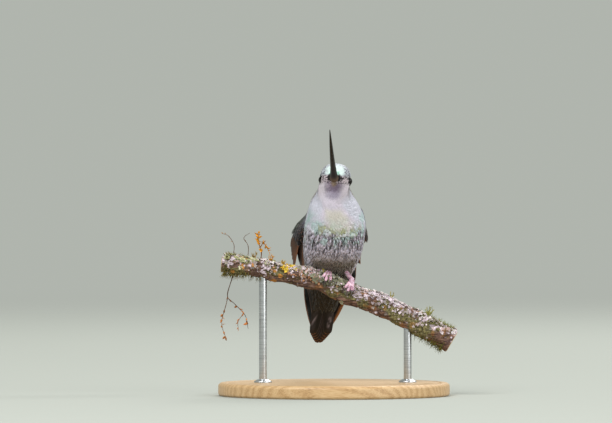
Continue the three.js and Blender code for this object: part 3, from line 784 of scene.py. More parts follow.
coat = [  # name, from and to along the body, slot, seed, rings and points across, layers, swell
    ("coat_head", 0.02, 4.7, "crown_feathers", 21, 5, 5, 3.0, 2.2),
    ("coat_throat", 4.7, 6.4, "throat_feathers", 22, 6, 5, 3.0, 2.0),
    ("coat_breast", 6.4, 7.95, "throat_feathers", 25, 6, 5, 3.0, 2.0),
    ("coat_belly", 7.95, 9.7, "body_feathers", 23, 7, 5, 2.3, 2.6),
    ("coat_rump", 9.7, 11.6, "body_feathers", 26, 7, 5, 3.0, 2.6),
    ("coat_coverts", 11.6, 13.25, "covert_feathers", 24, 8, 5, 3.0, 2.6),
]
for name, start, end, slotName, seed, rings, across, layers, swell in coat:
    addFlock(name, bodySkin, coatRoots((start, end), seed, layers), coatSizes, paintBody, plume,
             slotName, seed, rings, across, clear=clearOfPerch, swell=swell)
print("coat made")


# Folded wings, from the wrist (l = 0) to the tip; c is back from the leading edge and n outwards
wing = {
    "wrist": (8.8, -4, 70.8), "length": 57, "spread": 2.3, "tuck": 6.9, "slope": (0.547, -0.829),
    "out": (0.97, -0.16, -0.12), "thick": 0.16,
    # the left wing's edge stands out a little beside the leg, and its secondaries lie closer
    "bulge": 1.3, "bulgeAlong": (24, 31, 35, 45), "settle": 0.9, "settleAlong": (13, 24),
}


def wingPoint(side, l, c, n):
    # The leading edge runs down and back; a vane lies c behind it, wrapped round the back near the
    # wrist and turned in towards the tail near the tip
    l, c, n = np.broadcast_arrays(*(np.asarray(v, float) for v in (l, c, n)))
    x, y, z = wing["wrist"]
    edge = (x + wing["spread"] * smoothStep(l, 0, 18)
            - wing["tuck"] * (np.maximum(l, 0) / wing["length"]) ** 2.2
            + (side > 0) * wing["bulge"] * window(l, *wing["bulgeAlong"]))
    splay = 0.28 * smoothStep(l, 0, 14) - 0.95 * smoothStep(l, 20, 46)
    wrap = lerp(0.05, 0.008, smoothStep(l, 6, 22)) * c**2
    points = np.stack([edge + splay * c, y + wing["slope"][0] * l + 0.81 * c,
                       z + wing["slope"][1] * l + 0.565 * c], -1)
    points = points + unit(np.array(wing["out"])) * (n - wrap)[..., None]
    return onBird(points * (side, 1, 1))


# The pad over the roots of the flight feathers and its coverts. Each pair of lengths is at the
# wrist and where the long feathers leave the pad, and a pair of colours is edge and shaft
wingCoat = {
    "run": (1.0, 17), "middle": (3.2, 5), "half": (5, 4.2), "high": (-0.25, 3.0), "squareness": 0.7,
    "long": (1.3, 5.4), "wide": (1.1, 2.8), "depth": 0.5, "ragged": 0.6,
    "front": ("#a59db4", "#5a5768"),  # slate with a lilac cast on the leading edge
    "outer": ("#566352", "#2f3a2e"),  # bronze green on the outside
    # the near black of the next pair is partly a painted shadow under the shoulder's feathers
    "rear": ("#6e4a3c", "#0d0a0b"),  # near black with rufous edges where the long coverts end
}


def padShape(side):
    # A flat oval round the wing that deepens at its rear, down to the back; t goes from 0 at the
    # wrist to 1 where the long feathers leave it. The right one is flatter
    def squared(v):
        return np.sign(v) * np.abs(v) ** wingCoat["squareness"]

    def shape(t, angle):
        t, angle = np.broadcast_arrays(t, angle)
        full = np.minimum(1, 0.15 + 1.5 * np.sqrt(np.maximum(t, 0)))
        share, square = squared(np.cos(angle)), squared(np.sin(angle))
        depth = 2 * np.maximum(0, share + 0.3) ** 2 * np.maximum(0, -np.sin(angle)) * full
        across = lerp(*wingCoat["middle"], t) + lerp(*wingCoat["half"], t) * full * share
        height = lerp(*wingCoat["high"], 0.5 + 0.5 * full * square) - depth
        height = height * lerp(0.7 + 0.25 * side, 0.75 + 0.07 * side, smoothStep(t, 0.1, 0.9))
        return wingPoint(side, lerp(*wingCoat["run"], t), across, height)
    return shape


def paintWingCoat(t, angle, s, c, chance, place):
    # Each covert is darker along its shaft and paler at its worn edge and tip
    front = smoothStep(-np.cos(angle), -0.5, 0.6)[:, None]
    # lower down the coverts turn near black with rufous edges; the near black is partly a painted shadow
    # under the shoulder's feathers
    down = smoothStep(t + 0.16 * (chance - 0.5), 0.26, 0.44)[:, None]
    edge, shaft = (lerp(lerp(rgb(wingCoat["outer"][i]), rgb(wingCoat["front"][i]), front),
                        rgb(wingCoat["rear"][i]), down * (0.35 + 0.65 * front)) for i in (0, 1))
    pale = lerp(0.35, 0.62, down)[:, :, None]
    middle = fadeOut(np.abs(c) + 0.6 * smoothStep(s, 0.8, 1), pale, pale + 0.4)
    # each covert's tone differs at random, and a painted shade darkens it towards its root, under the row
    # that overlaps it
    shade = (0.55 + 0.9 * chance)[:, None, None] * lerp(0.5, 1, smoothStep(s, 0.1, 0.7))
    colour = lerp(edge[:, None, None], shaft[:, None, None], middle[..., None]) * shade[..., None]
    return colour, np.broadcast_to((0.35 - 0.2 * down)[:, :, None], s.shape)


# Flight feathers: stiff vanes of fused barbs on a shaft, satin and dark, with paler worn edges
flight, tree, shader = newMaterial("flight feather", Roughness=0.55, IOR=1.5, Specular_IOR_Level=0.25)
acrossVane, _, alongVane = partsOf(tree, readField(tree, "vane"))
# barbs leave the shaft at about 30 degrees; drawn 0.45 mm apart, as finer ones wouldn't show
phase = addMath(tree, "MULTIPLY_ADD", addMath(tree, "ABSOLUTE", acrossVane), -2.6, alongVane)
dress(tree, shader, *barbPattern(tree, phase, 0.45, 0.08, (700.0, 4.0, 0.78, 1.22), (0.3, 0.00005)))


def featherRings(surface, feather, rings=30, across=9):
    # A feather as a closed thin plate: q along it from root to tip, c across from edge to edge.
    # Its width swells from the root, tapers after the middle and closes in a rounded tip; the
    # shaft is a ridge along the middle that thins towards the tip, and the whole feather rises
    # with the square of q
    q = np.concatenate([np.linspace(0, 0.9, rings - 8), np.linspace(0.92, 1.0, 8)])[:, None]
    c = np.linspace(-1, 1, across)[None]
    (l0, c0), (l1, c1), half = feather["root"], feather["tip"], feather["half"]
    length = l1 - l0
    wide = half * np.minimum(1, 0.45 + 3.5 * q)
    wide = wide * lerp(1, feather.get("blunt", 0.3), (np.maximum(q - 0.5, 0) / 0.5) ** 3)
    close = half * 0.9 / length  # the rounded tip is about as long as the vane is wide
    wide = wide * np.sqrt(np.clip(1 - (np.maximum(q - (1 - close), 0) / close) ** 2, 0.0025, 1))
    l = lerp(l0, l1, q) + 0 * c
    middle = lerp(c0, c1, q) + feather.get("bow", 0) * np.sin(np.pi * q)
    shaft = feather["shaft"]  # its place across the vane
    ridge = 0.16 * (1 - 0.7 * q) * np.exp(-((c - shaft) / 0.14) ** 2)
    curl = feather.get("camber", 0.12) * half * (c - shaft) ** 2
    thick = wing["thick"] * (0.35 + 0.65 * (1 - np.abs(c))) * (1 - 0.5 * q)
    lift = feather["lift"] + feather.get("rise", 0) * q**2
    top = surface(l, middle + wide * c, lift + thick / 2 + ridge - curl)
    low = surface(l, middle + wide * c, lift - thick / 2 - curl - 0.6 * ridge)
    vane = np.stack(np.broadcast_arrays(c, q, q * length), -1)
    return np.concatenate([top, low[:, ::-1]], 1), np.concatenate([vane, vane[:, ::-1]], 1)


def addFeathers(name, surface, feathers, paint, slot, replaces):
    made = [featherRings(surface, feather) for feather in feathers]
    vanes = [tubePoints(vane) for _, vane in made]
    colours = [paint(i, vane[:, 0], vane[:, 1]) for i, vane in enumerate(vanes)]
    writeMesh(name, *joinTubes([rings for rings, _ in made]), flight, slot, replaces,
              {"vane": np.concatenate(vanes), "plume": np.concatenate(colours)})
    print(f"{name}: {len(feathers)} feathers")


def overlay(colour, code, amount):  # a marking's colour laid over a feather's
    return lerp(colour, rgb(code), amount[:, None])


# Each feather's root and tip are its places along the wing and behind its leading edge
primaries = [{
    "root": (11, 1.5 + 2.4 * f),
    "tip": (wing["length"] - 29 * f**1.15, 1.7 + 3.6 * f),
    "half": 2.1 if f else 1.6,
    "lift": 0.81 * f,
    "bow": -0.9 * (1 - f),
    "shaft": -0.45 + 0.2 * f,
} for f in np.arange(10) / 9]
secondaries = [{
    "root": (11.5, 4.4 + 2.4 * f),
    "tip": (27.6 - 4.6 * f + 0.7 * math.cos(9 * f), 5.0 + 3.0 * f),
    "half": 2.9 - 0.6 * f,
    "lift": 1.5 + 0.3 * f,
    "rise": 2.0 - 1.3 * f,
    "shaft": -0.25,
    "blunt": 0.75,
    "camber": 0.22,
} for f in np.arange(6) / 5]
wingPaint = {
    "vane": "#161415", "lead": "#1f1a1a", "edge": "#94674a", "inner": "#5a3a2a", "line": "#a07c6c",
    # the first colour on the next line is a painted glow of backlight, used on one wing only
    "backlitCinnamon": "#a86d3c", "rufous": "#54341f", "rufousEdge": "#8a5b40",
}


def paintPrimary(i, c, q, side):
    # Near black with a brown cast, warmer and paler along the worn edges and on the inner ones;
    # the left wing's outer ones carry a painted glow of backlight towards the tip, a broad orange-brown
    # band
    inner = smoothStep(i, 3, 9)
    colour = overlay(rgb(wingPaint["vane"]), wingPaint["lead"], smoothStep(-c, 0.1, 0.7))
    worn = (smoothStep(np.abs(c), 0.72, 1.0) * (0.9 if i in (0, 4) else 0.25)
            + inner * 0.45 * smoothStep(q, 0.45, 1))
    colour = lerp(colour, lerp(rgb(wingPaint["edge"]), rgb(wingPaint["inner"]), inner),
                  np.clip(worn, 0, 1)[:, None])
    colour = overlay(colour, wingPaint["line"], 0.8 * (i < 3) * window(-c, 0.55, 0.7, 0.95, 1.05))
    # painted light: a glow of backlight through the edges of the left wing's three outer primaries,
    # towards the tip
    lit = (side > 0) * (i < 3) * smoothStep(-c, 0.0, 0.5) * window(q, 0.45, 0.6, 0.93, 1.0)
    return overlay(colour, wingPaint["backlitCinnamon"], 0.85 * lit)


def paintSecondary(i, c, q):
    # Rufous brown, darker by the shaft and at the root, with paler worn edges
    colour = overlay(rgb(wingPaint["vane"]), wingPaint["rufous"],
                     smoothStep(q, 0.2, 0.6) * smoothStep(np.abs(c), 0.05, 0.4))
    worn = smoothStep(np.abs(c), 0.7, 1.0) * 0.9 + 0.5 * smoothStep(q, 0.9, 1)
    return overlay(colour, wingPaint["rufousEdge"], np.clip(worn, 0, 1))


def padSizes(t, u):
    skinned = wingCoat["depth"] * smoothStep(t, 0, 0.15)
    ragged = wingCoat["ragged"] * smoothStep(t, 0.35, 0.7)
    return lerp(*wingCoat["long"], t), lerp(*wingCoat["wide"], t), skinned + 0.02, 0.15 + ragged


def addWing(side, sideName):  # side is 1 on the left and -1 on the right
    def onWing(l, c, n):
        return wingPoint(side, l, c, n)

    def settled(l, c, n):
        return onWing(l, c, n - (side > 0) * wing["settle"] * smoothStep(l, *wing["settleAlong"]))

    addFeathers(f"primaries_{sideName}", onWing, primaries,
                lambda i, c, q: paintPrimary(i, c, q, side), "flight_feathers",
                (f"wing_{sideName}_primaries",))
    addFeathers(f"secondaries_{sideName}", settled, secondaries, paintSecondary, "flight_feathers",
                (f"wing_{sideName}_secondaries",))
    end = 1.35  # how far the pad's surface goes on, for the coverts' tips
    pad = makeSurface(padShape(side), (0, end), 109, 120)
    t, u = np.meshgrid(np.linspace(0, 1, 50), np.arange(72) / 72, indexing="ij")
    field = np.stack([t, t, 0 * t + 6], -1)
    addTube(f"wing_pad_{sideName}", onSurface(pad, t, u, -wingCoat["depth"] * smoothStep(t, 0, 0.15)),
            plume, slot="wing_covert_feathers", replaces=(f"wing_{sideName}_coverts",),
            fields={"plume": 0 * field + rgb(wingCoat["outer"][1]), "gloss": 0 * t, "vane": field},
            bakeMap=np.stack([u, t / end], -1))
    roots = rowsOver(pad, (0.02, 0.78), lambda t: lerp(*wingCoat["long"], t),
                     lambda t: lerp(*wingCoat["wide"], t), 31 + side)
    shown = np.sin(readTable(pad, "turn", roots[0], roots[1])) > -0.5
    addFlock(f"wing_coverts_{sideName}", pad, roots[:, shown], padSizes, paintWingCoat, plume,
             "wing_covert_feathers", 41 + side, 7, 5)


addWing(1, "left")
addWing(-1, "right")


def onSlope(start, slope, way, along, across, over):
    # start + along ahead + across X + over up, where ahead slopes down by slope towards the rear,
    # or for way -1 up towards the front, and up is square to it
    along, across, over = np.broadcast_arrays(*(np.asarray(v, float) for v in (along, across, over)))
    ahead = way * np.array([0, math.cos(slope), -math.sin(slope)])
    up = np.array([0, math.sin(slope), math.cos(slope)])
    return (np.array(start) + ahead * along[..., None] + up * over[..., None]
            + np.array([1.0, 0, 0]) * across[..., None])


# The tail: ten feathers in a shallow fan, the middle pair longest and uppermost
tail = {"root": (0, 12, 50), "length": 36.8, "slope": math.atan2(29.7, 19.5), "rounding": 4.4,
        "hollow": 0.03}
# glint is a painted highlight of sheen on the feathers
tailPaint = {"base": "#16130e", "band": "#0a0b10", "tip": "#1e1712", "edge": "#3f373a",
             "glint": "#8f8794", "rust": "#70482c"}


def tailPoint(l, c, n):
    # l along the tail's slope, c across it, n up from it, less a little hollow below the fan
    return onBird(onSlope(tail["root"], tail["slope"], 1, l, c, n - tail["hollow"] * c**2))


def paintTail(i, c, q):
    # Olive brown at the base, a blue-black band near the end and grey-brown tips, with pale worn
    # edges that show as chevrons where the feathers overlap
    colour = overlay(rgb(tailPaint["base"]), tailPaint["band"], smoothStep(q, 0.5, 0.72))
    colour = overlay(colour, tailPaint["tip"], smoothStep(q - 0.05 * np.abs(c), 0.86, 0.93))
    worn = smoothStep(np.abs(c), 0.74, 0.95) * lerp(0.25, 0.9, smoothStep(q, 0.5, 0.8))
    colour = overlay(colour, tailPaint["edge"], worn)
    # painted highlights: slanting lilac grey glints of sheen on the outer half of each vane, and rusty
    # ends
    outwards = c * (1 if i % 2 else -1)
    glint = window(q, 0.52, 0.7, 0.88, 0.97) * window(outwards, -0.2, 0.15, 0.55, 0.9)
    stripes = np.sin(44 * q - 6 * outwards + i) + 0.8 * np.sin(17 * q + 5 * c + 2 * i)
    glint = glint * (0.1 + 0.9 * smoothStep(stripes, 0.2, 1.5))
    colour = overlay(colour, tailPaint["glint"], 0.75 * glint)
    return overlay(colour, tailPaint["rust"], smoothStep(q + 0.02 * np.abs(c), 0.985, 1.005))


tailFeathers = [{
    "root": (5, side * (0.4 + 0.15 * k)),
    "tip": (tail["length"] - tail["rounding"] * (k / 4) ** 1.1, side * (0.5 + 0.56 * k)),
    "half": 2.3,
    "lift": -0.16 * k + 0.05 * side,
    "blunt": 0.6,
    "shaft": -0.15 * side * min(k, 1),
    "camber": 0.05,
} for k in range(5) for side in (-1, 1)]
addFeathers("tail_feathers", tailPoint, tailFeathers, paintTail, "tail_feathers", ("tail",))
print("wings and tail made")

# The bill: two slim half-round mandibles, slightly upturned, closed along the gape
bill = {"root": (0, -15.7, 82.95), "length": 36.25, "shorter": 0.7, "pitch": math.radians(27),
        "upturn": 2.2, "sunk": 2, "gape": 0.04, "point": 0.12, "half": 0.70, "flare": 0.85,
        "nostril": (2.6, 1.5, 0.16)}  # its place, half length and depth


def billPoint(s, across, over):
    # s along the bill from the feathers, over its middle line, which lifts with the square of s
    lift = bill["upturn"] * (np.maximum(s, 0) / bill["length"]) ** 2
    return onBird(onSlope(bill["root"], bill["pitch"], -1, s, across, lift + over), 1)


def billHalf(s):  # a flare at the root, a long even stretch and a fine point
    q = np.maximum(s, 0) / bill["length"]
    return bill["point"] + bill["half"] * (1 - q**2.6) + bill["flare"] * np.exp(-5 * q)


def mandible(side, length):
    # A half ellipse over the gape (side 1) or under it (side -1), carried along the bill. The
    # upper one has a ridge along its top and a slit of a nostril each side near the feathers
    q = np.concatenate([np.linspace(-bill["sunk"] / length, 0.16, 26), np.linspace(0.18, 0.96, 40),
                        np.linspace(0.97, 1, 6)])[:, None]
    s = q * length
    angle = np.linspace(0, np.pi, 25)[None]
    half = billHalf(s) * np.where(q > 0.96, np.sqrt(np.clip(1 - ((q - 0.96) / 0.042) ** 2, 0, 1)), 1)
    radius = half * (1 + (0.07 if side > 0 else -0.03) * np.exp(-((angle - np.pi / 2) / 0.3) ** 2))
    if side > 0:
        place, reach, depth = bill["nostril"]
        low = np.minimum(angle, np.pi - angle)
        radius = radius - half * depth * np.exp(-((s - place) / reach) ** 4 - ((low - 0.42) / 0.16) ** 2)
    outer = billPoint(s, radius * np.cos(angle), side * (bill["gape"] + 0.95 * radius * np.sin(angle)))
    inside = np.linspace(-0.8, 0.8, 5)[None]
    flat = billPoint(s, inside * half, side * bill["gape"] + 0 * inside)
    return np.concatenate([outer, flat], 1)


# Horn of the bill: dense keratin with a satin polish, darkest at the tip, scuffed lengthwise
horn, tree, shader = newMaterial("bill horn", Roughness=0.5, IOR=1.54, Specular_IOR_Level=0.15)
lengthened = placeOn(tree, Rotation=(-bill["pitch"], 0, math.radians(5)), Scale=(2200, 160, 2200))
scuff = addNoise(tree, lengthened, detail=4.0)
tone = toneOf(tree, scuff, (0.3, "#080603"), (0.75, "#20180b"))
dress(tree, shader, blend(tree, readField(tree, "pale", "Fac"), tone, linear("#8d7461")),
      (scuff, 0.25, 0.00003), Roughness=spreadTo(tree, scuff, 0.26, 0.5))
for name, side, length, pale in (("upper", 1, bill["length"], 0),
                                 ("lower", -1, bill["length"] - bill["shorter"], 0.9)):
    rings = mandible(side, length)
    along = np.linalg.norm(rings - onBird(bill["root"], 1), axis=-1)
    addTube(f"bill_{name}_horn", rings, horn, slot="bill", replaces=(f"bill_{name}",), sharp=50,
            fields={"pale": pale * np.exp(-(along / 2.0) ** 2)})
print("bill made")

# Eye: a wet cornea over a dark brown iris, which reads as near black with one sharp highlight
eyeball, tree, shader = newMaterial("wet eye", Roughness=0.05, IOR=1.38, Specular_IOR_Level=0.35)
field = readField(tree, "vane")
wander = addMath(tree, "MULTIPLY_ADD", addNoise(tree, field, 9.0), 0.12, partsOf(tree, field)["X"])
dress(tree, shader, toneOf(tree, wander, (0.50, "#030303"), (0.56, "#140b07"), (0.95, "#0e0806"),
                           (1.0, "#060505")))

# Eyelid: bare skin, finely wrinkled, dull and slightly translucent, slate grey here
lidSkin, tree, shader = newMaterial("bare eyelid", Roughness=0.5, IOR=1.45, Subsurface_Weight=0.1,
                                    Subsurface_Scale=0.0004)
wrinkle = addNoise(tree, placeOn(tree), 3500.0)
dress(tree, shader, toneOf(tree, wrinkle, (0.3, "#0d0b0d"), (0.7, "#211d20")),
      (wrinkle, 0.4, 0.00005))


def addEye(side):
    middle, way, up, across = eyeAxes(side)
    # rings round the way the eye looks, from its front to its back; the cornea bulges a little
    turn = np.linspace(math.radians(2), math.radians(178), 44)[:, None]
    angle = circle(48)[None]
    radius = eyeFacts["radius"] * (0.985 + eyeFacts["bulge"] * np.exp(-(turn / 0.55) ** 2))
    points = (middle + way * (radius * np.cos(turn))[..., None]
              + up * (radius * np.sin(turn) * np.cos(angle))[..., None]
              + across * (radius * np.sin(turn) * np.sin(angle))[..., None])
    addTube(f"eyeball_{side}", points, eyeball, slot="eye", replaces=(f"eye_{side}",),
            fields={"vane": np.stack(np.broadcast_arrays(turn, angle, 0), -1)})
    # the lids: a beaded ring that lies on the eyeball, a little narrower from top to bottom
    count, sides = 96, 12
    angle = np.arange(count + 1) / count * 2 * np.pi
    tip = np.radians(eyeFacts["lidAngle"] - eyeFacts["narrowing"] * np.cos(angle) ** 2)[:, None]
    rim = (way * np.cos(tip)
           + (up * np.cos(angle)[:, None] + across * np.sin(angle)[:, None]) * np.sin(tip))
    bead = eyeFacts["bead"] * (1 + 0.12 * np.sin(eyeFacts["beads"] * angle))
    rings = sweep(middle + rim * (eyeFacts["radius"] + 0.03), bead, sides, run=way)
    rings[0] = (rings[0] + rings[-1]) / 2
    writeMesh(f"eyelid_{side}", rings[:-1], sideFaces(count, sides, closed=True), [], lidSkin,
              "body_feathers")


addEye("left")
addEye("right")
print("eyes made")

# Feet: three toes over the front of the perch and one behind, on a short scaled shank. A toe is
# its side step, then where its flesh starts and ends round the perch, in degrees
feet = {
    "left": {"x": 4.8, "knee": (2.3, 3.4, 50)},
    "right": {"x": -3.7, "knee": (-3.2, 3.6, 52.5)},
}
toes = {"inner": (-1, 4, 66), "middle": (0, 4, 76), "outer": (1, 4, 66), "hind": (0, -4, -66)}
toe = {
    "gap": (0.25, 1.4),  # from one front toe's middle to the next, at their root and their tip
    "half": (0.68, 0.52), "over": (0.98, 0.82), "scutes": 10,
    "clawStep": 0.25, "clawTurn": (2.5, 27), "clawHalf": (0.42, 0.07), "clawOver": (1.07, 0.57),
}
shank = {"ankle": 1.6, "scutes": 9, "ball": 1.15,
         "along": (0, 0.12, 0.5, 0.85, 1), "half": (1.05, 0.9, 0.84, 0.98, 1.1)}

# Bare leg skin: horny scales over flesh, pinkish, satin, a little light passing into it
legSkin, tree, shader = newMaterial("scaled leg skin", Roughness=0.48, IOR=1.5,
                                    Subsurface_Weight=0.15, Subsurface_Scale=0.0006,
                                    Subsurface_Radius=(1.0, 0.4, 0.3))
scales = addNode(tree, "ShaderNodeTexVoronoi", {"Vector": placeOn(tree), "Scale": 2600.0})
mixed = addMath(tree, "MULTIPLY_ADD", scales, 0.35, addNoise(tree, placeOn(tree), 600.0))
dress(tree, shader, toneOf(tree, mixed, (0.35, "#ead0db"), (0.6, "#cfa8b9"), (0.85, "#8c6277")),
      (scales, 0.35, 0.00006))

# Claw: translucent dark horn, polished by use
clawHorn, tree, shader = newMaterial("claw horn", Roughness=0.3, IOR=1.54)
dress(tree, shader, toneOf(tree, addNoise(tree, placeOn(tree), 1500.0), (0.3, "#2a2321"),
                           (0.75, "#5b4f4a")))


def scaled(radius, count, length, deep=0.07):
    # Radii along a limb with overlapping scutes: each swells along its length and then steps in
    q = np.linspace(0, 1, length)
    return radius * (1 + deep * ((q * count) % 1.0 - 0.5))


for sideName, foot in feet.items():
    q = np.linspace(0, 1, 73)
    path = lerp(perchPoint(foot["x"], 0.0, shank["ankle"]), np.array(foot["knee"], float), q[:, None])
    half = np.interp(q, shank["along"], shank["half"])
    flesh, claws = [sweep(path, scaled(half, shank["scutes"], 73), 20)], []
    for spread, start, end in toes.values():
        q = np.linspace(0, 1, 61)
        radius = lerp(*toe["half"], q) * (1 + 0.10 * np.sin(3 * np.pi * q) ** 2)
        radius[-3:] *= (0.97, 0.86, 0.6)
        path = perchPoint(foot["x"] + spread * lerp(*toe["gap"], q), np.radians(lerp(start, end, q)),
                          lerp(*toe["over"], q))
        flesh.append(sweep(path, scaled(radius, toe["scutes"], 61), 16))
        q = np.linspace(0, 1, 25)
        first, further = toe["clawTurn"]
        path = perchPoint(foot["x"] + spread * (toe["gap"][1] + toe["clawStep"] * q),
                          np.radians(end + np.sign(end) * (first + further * q)),
                          lerp(*toe["clawOver"], q**2))
        claws.append(sweep(path, lerp(*toe["clawHalf"], q**1.3) + 0.03 * np.sin(np.pi * q), 14))
    angle = np.linspace(0.02, np.pi - 0.02, 15)
    ball = perchPoint(foot["x"], 0.0, shank["ball"]) + np.outer(np.cos(angle), (0, 0, shank["ball"]))
    flesh.append(sweep(ball, shank["ball"] * np.sin(angle), 20))
    writeMesh(f"foot_{sideName}", *joinTubes(flesh), legSkin, "leg_skin", (f"leg_{sideName}",))
    writeMesh(f"claws_{sideName}", *joinTubes(claws), clawHorn, "claw",
              tuple(f"claw_{sideName}_{name}" for name in toes))
print("feet made")

# The branch: cracked bark, roughened by crusts of lichen on top and moss along the sides
bark = {"from": -42.6, "to": 44.6, "rings": 430, "sides": 124, "lumps": 0.75, "cracks": 0.45,
        "crust": 0.42, "moss": 0.3, "grain": 0.10}
x, angle = np.meshgrid(np.linspace(bark["from"], bark["to"], bark["rings"]), circle(bark["sides"]),
                       indexing="ij")
bare = perchPoint(x, angle)
grain = noiseAt(bare, 0.55)
cracks = 1 - np.abs(2 * noiseAt(bare * (0.28, 1, 1), 1.15) - 1)
topness = np.cos(angle) + 0.1 * np.sin(angle)
crust = smoothStep(0.7 * noiseAt(bare, 3.2) + 0.26 * topness + 0.75 * (noiseAt(bare, 0.8) - 0.3),
                   0.62, 0.82)
moss = smoothStep(noiseAt(bare + 40, 4.0) + 0.18 * np.cos(angle - 1.3), 0.55, 0.70) * (1 - 0.7 * crust)
yellow = smoothStep(noiseAt(bare + 80, 2.0), 0.66, 0.76) * (0.3 + 0.7 * smoothStep(-x, 8, 20))
# how far off the perch: lumps, less the cracks, plus crusts, moss and grain, all fading at the ends
over = (bark["lumps"] * (noiseAt(bare, 5.0) - 0.5)
        - bark["cracks"] * smoothStep(cracks, 0.72, 0.98) * (1 - 0.6 * crust)
        + bark["crust"] * crust * (0.35 + grain) + bark["moss"] * moss * grain
        + bark["grain"] * (grain - 0.5))
over = over * smoothStep(np.minimum(x - bark["from"], bark["to"] - x), -0.6, 2.0)

# Bark under lichen: dark fissured cork, with pinkish grey crusts, olive moss and yellow specks;
# dry and matt all over
barkStuff, tree, shader = newMaterial("lichened bark", Roughness=0.9, IOR=1.45,
                                      Specular_IOR_Level=0.3)
crusted, mossed, specked = partsOf(tree, readField(tree, "cover"))
cork = addNoise(tree, placeOn(tree, Scale=(350, 1300, 1300)), detail=5.0, roughness=0.6)
corkTone = toneOf(tree, cork, (0.3, "#2d2223"), (0.5, "#634b42"), (0.72, "#9b7b6b"))
grit = addNoise(tree, placeOn(tree), 1500.0, 4.0)
crustTone = toneOf(tree, grit, (0.3, "#76656c"), (0.48, "#b9a8b1"), (0.7, "#e8dce4"))
mossTone = toneOf(tree, grit, (0.3, "#3b3626"), (0.55, "#6c6544"), (0.75, "#938a5c"))
lichened = blend(tree, crusted, blend(tree, mossed, corkTone, mossTone), crustTone)
dress(tree, shader, blend(tree, specked, lichened, linear("#b07a3c")), (grit, 0.6, 0.00015))
addTube("branch_bark", perchPoint(x, angle, over), barkStuff, slot="bark", replaces=("perch_branch",),
        fields={"cover": np.stack([crust, moss, yellow], -1)})

# Sawn ends: fresh dry wood with growth rings a millimetre or less apart and fine pores
sawn, tree, shader = newMaterial("sawn branch wood", Roughness=0.75, IOR=1.5)
fromPith = addMath(tree, "MULTIPLY_ADD", addNoise(tree, placeOn(tree), 500.0), 0.5,
                   partsOf(tree, readField(tree, "vane"))["X"])
years = addMath(tree, "SINE", addMath(tree, "MULTIPLY", fromPith, 2 * math.pi / 0.55))
late = addNode(tree, "ShaderNodeMapRange", {"Value": years, "From Min": -1.0})
dress(tree, shader, toneOf(tree, late, (0.1, "#a88d68"), (0.8, "#cdb48c")))
for end, endName in ((bark["from"], "right"), (bark["to"], "left")):
    # a thin disc with its rim inside the bark: shares of the radius, and heights out of the end
    turn = circle(96)[None]
    share = np.array([0.06, 0.5, 0.97, 1.0, 1.0, 0.97, 0.5, 0.06])[:, None]
    thick = np.array([-0.3, -0.3, -0.3, -0.25, 0.19, 0.24, 0.24, 0.24])[:, None] * np.sign(end)
    away = (perchAway(end, turn) - 0.42 + 0.1 * np.sin(5 * turn)) * share
    x = np.array(end)
    rings = (perchMiddle(x) + perchAhead(x) * (thick + 0 * turn)[..., None]
             + perchUp(x) * (away * np.cos(turn))[..., None] + forwards * (away * np.sin(turn))[..., None])
    addTube(f"sawn_end_{endName}", rings, sawn, slot="bark", sharp=40,
            fields={"vane": np.stack(np.broadcast_arrays(away, turn, 0), -1)})

# Lichen and moss: dry, papery or wiry growth with no gloss, uneven in tone
growth, tree, shader = newMaterial("lichen and moss", Roughness=0.85, IOR=1.45,
                                   Specular_IOR_Level=0.25, Subsurface_Weight=0.05,
                                   Subsurface_Scale=0.0005)
powder = addNoise(tree, placeOn(tree), 2500.0)
dress(tree, shader, scaleBy(tree, readField(tree, "plume"), spreadTo(tree, powder, 0.65, 1.3)),
      (powder, 0.5, 0.0001))


def strewn(patches, draw, ends, sizes):
    # Scatters each patch round its middle and returns one row a piece: its place along the branch
    # and round it, its size and its red, green and blue
    rows = []
    for x, alongSpread, degrees, roundSpread, count, big, pale, deep in patches:
        chance = draw.random((count, 1))
        rows.append(np.concatenate([
            np.clip(draw.normal(x, alongSpread, (count, 1)), *ends),
            np.radians(draw.normal(degrees, roundSpread, (count, 1))),
            big * draw.uniform(*sizes, (count, 1)), lerp(rgb(pale), rgb(deep), chance)], 1))
    return np.concatenate(rows)


# What grows on it: papery flakes of lichen, blades of moss and a few upright sprigs. Each patch
# is its middle and spread along the branch, the same round it in degrees, how many pieces and
# how big, and their two tones; of the flakes, also how far they stand off the bark
draw = np.random.default_rng(61)
flakes = [
    (0, 26, 0, 26, 260, 0.9, "#d9cfcf", "#a79c99", 0.25),
    (0, 26, 40, 40, 90, 0.7, "#a79c99", "#6f6660", 0.25),
    (-2, 5, 28, 30, 90, 1.15, "#8f8f7a", "#5c5a45", 0.25),
    (-7.3, 1.5, 10, 16, 34, 1.0, "#e6d6d9", "#bda9ad", 0.25),
    (-3.5, 1.8, 52, 14, 30, 0.8, "#8d8a62", "#5d5a3c", 0.25),
    (-18, 1.6, 36, 18, 30, 0.95, "#d9bb45", "#b08a2a", 0.25),
    (-9, 5, 58, 20, 110, 0.5, "#b98a68", "#7d5036", 0.25),
    (-8, 7, 34, 20, 110, 0.5, "#ead9df", "#b7a2aa", 0.3),
    (4, 16, 62, 16, 110, 0.42, "#cfc0c8", "#7d7078", 0.25),
    (-3.6, 1.7, 40, 18, 34, 0.75, "#a9a49c", "#55563f", 1.1),
    (-5.4, 1.3, 14, 10, 16, 0.8, "#dfc9d2", "#a58d97", 1.0),
    (24, 12, 15, 38, 120, 0.6, "#cdbfc3", "#8b7d80", 0.25),
    (-36, 6, 10, 45, 60, 1.05, "#c4c2a2", "#8b8a5c", 0.25),
]
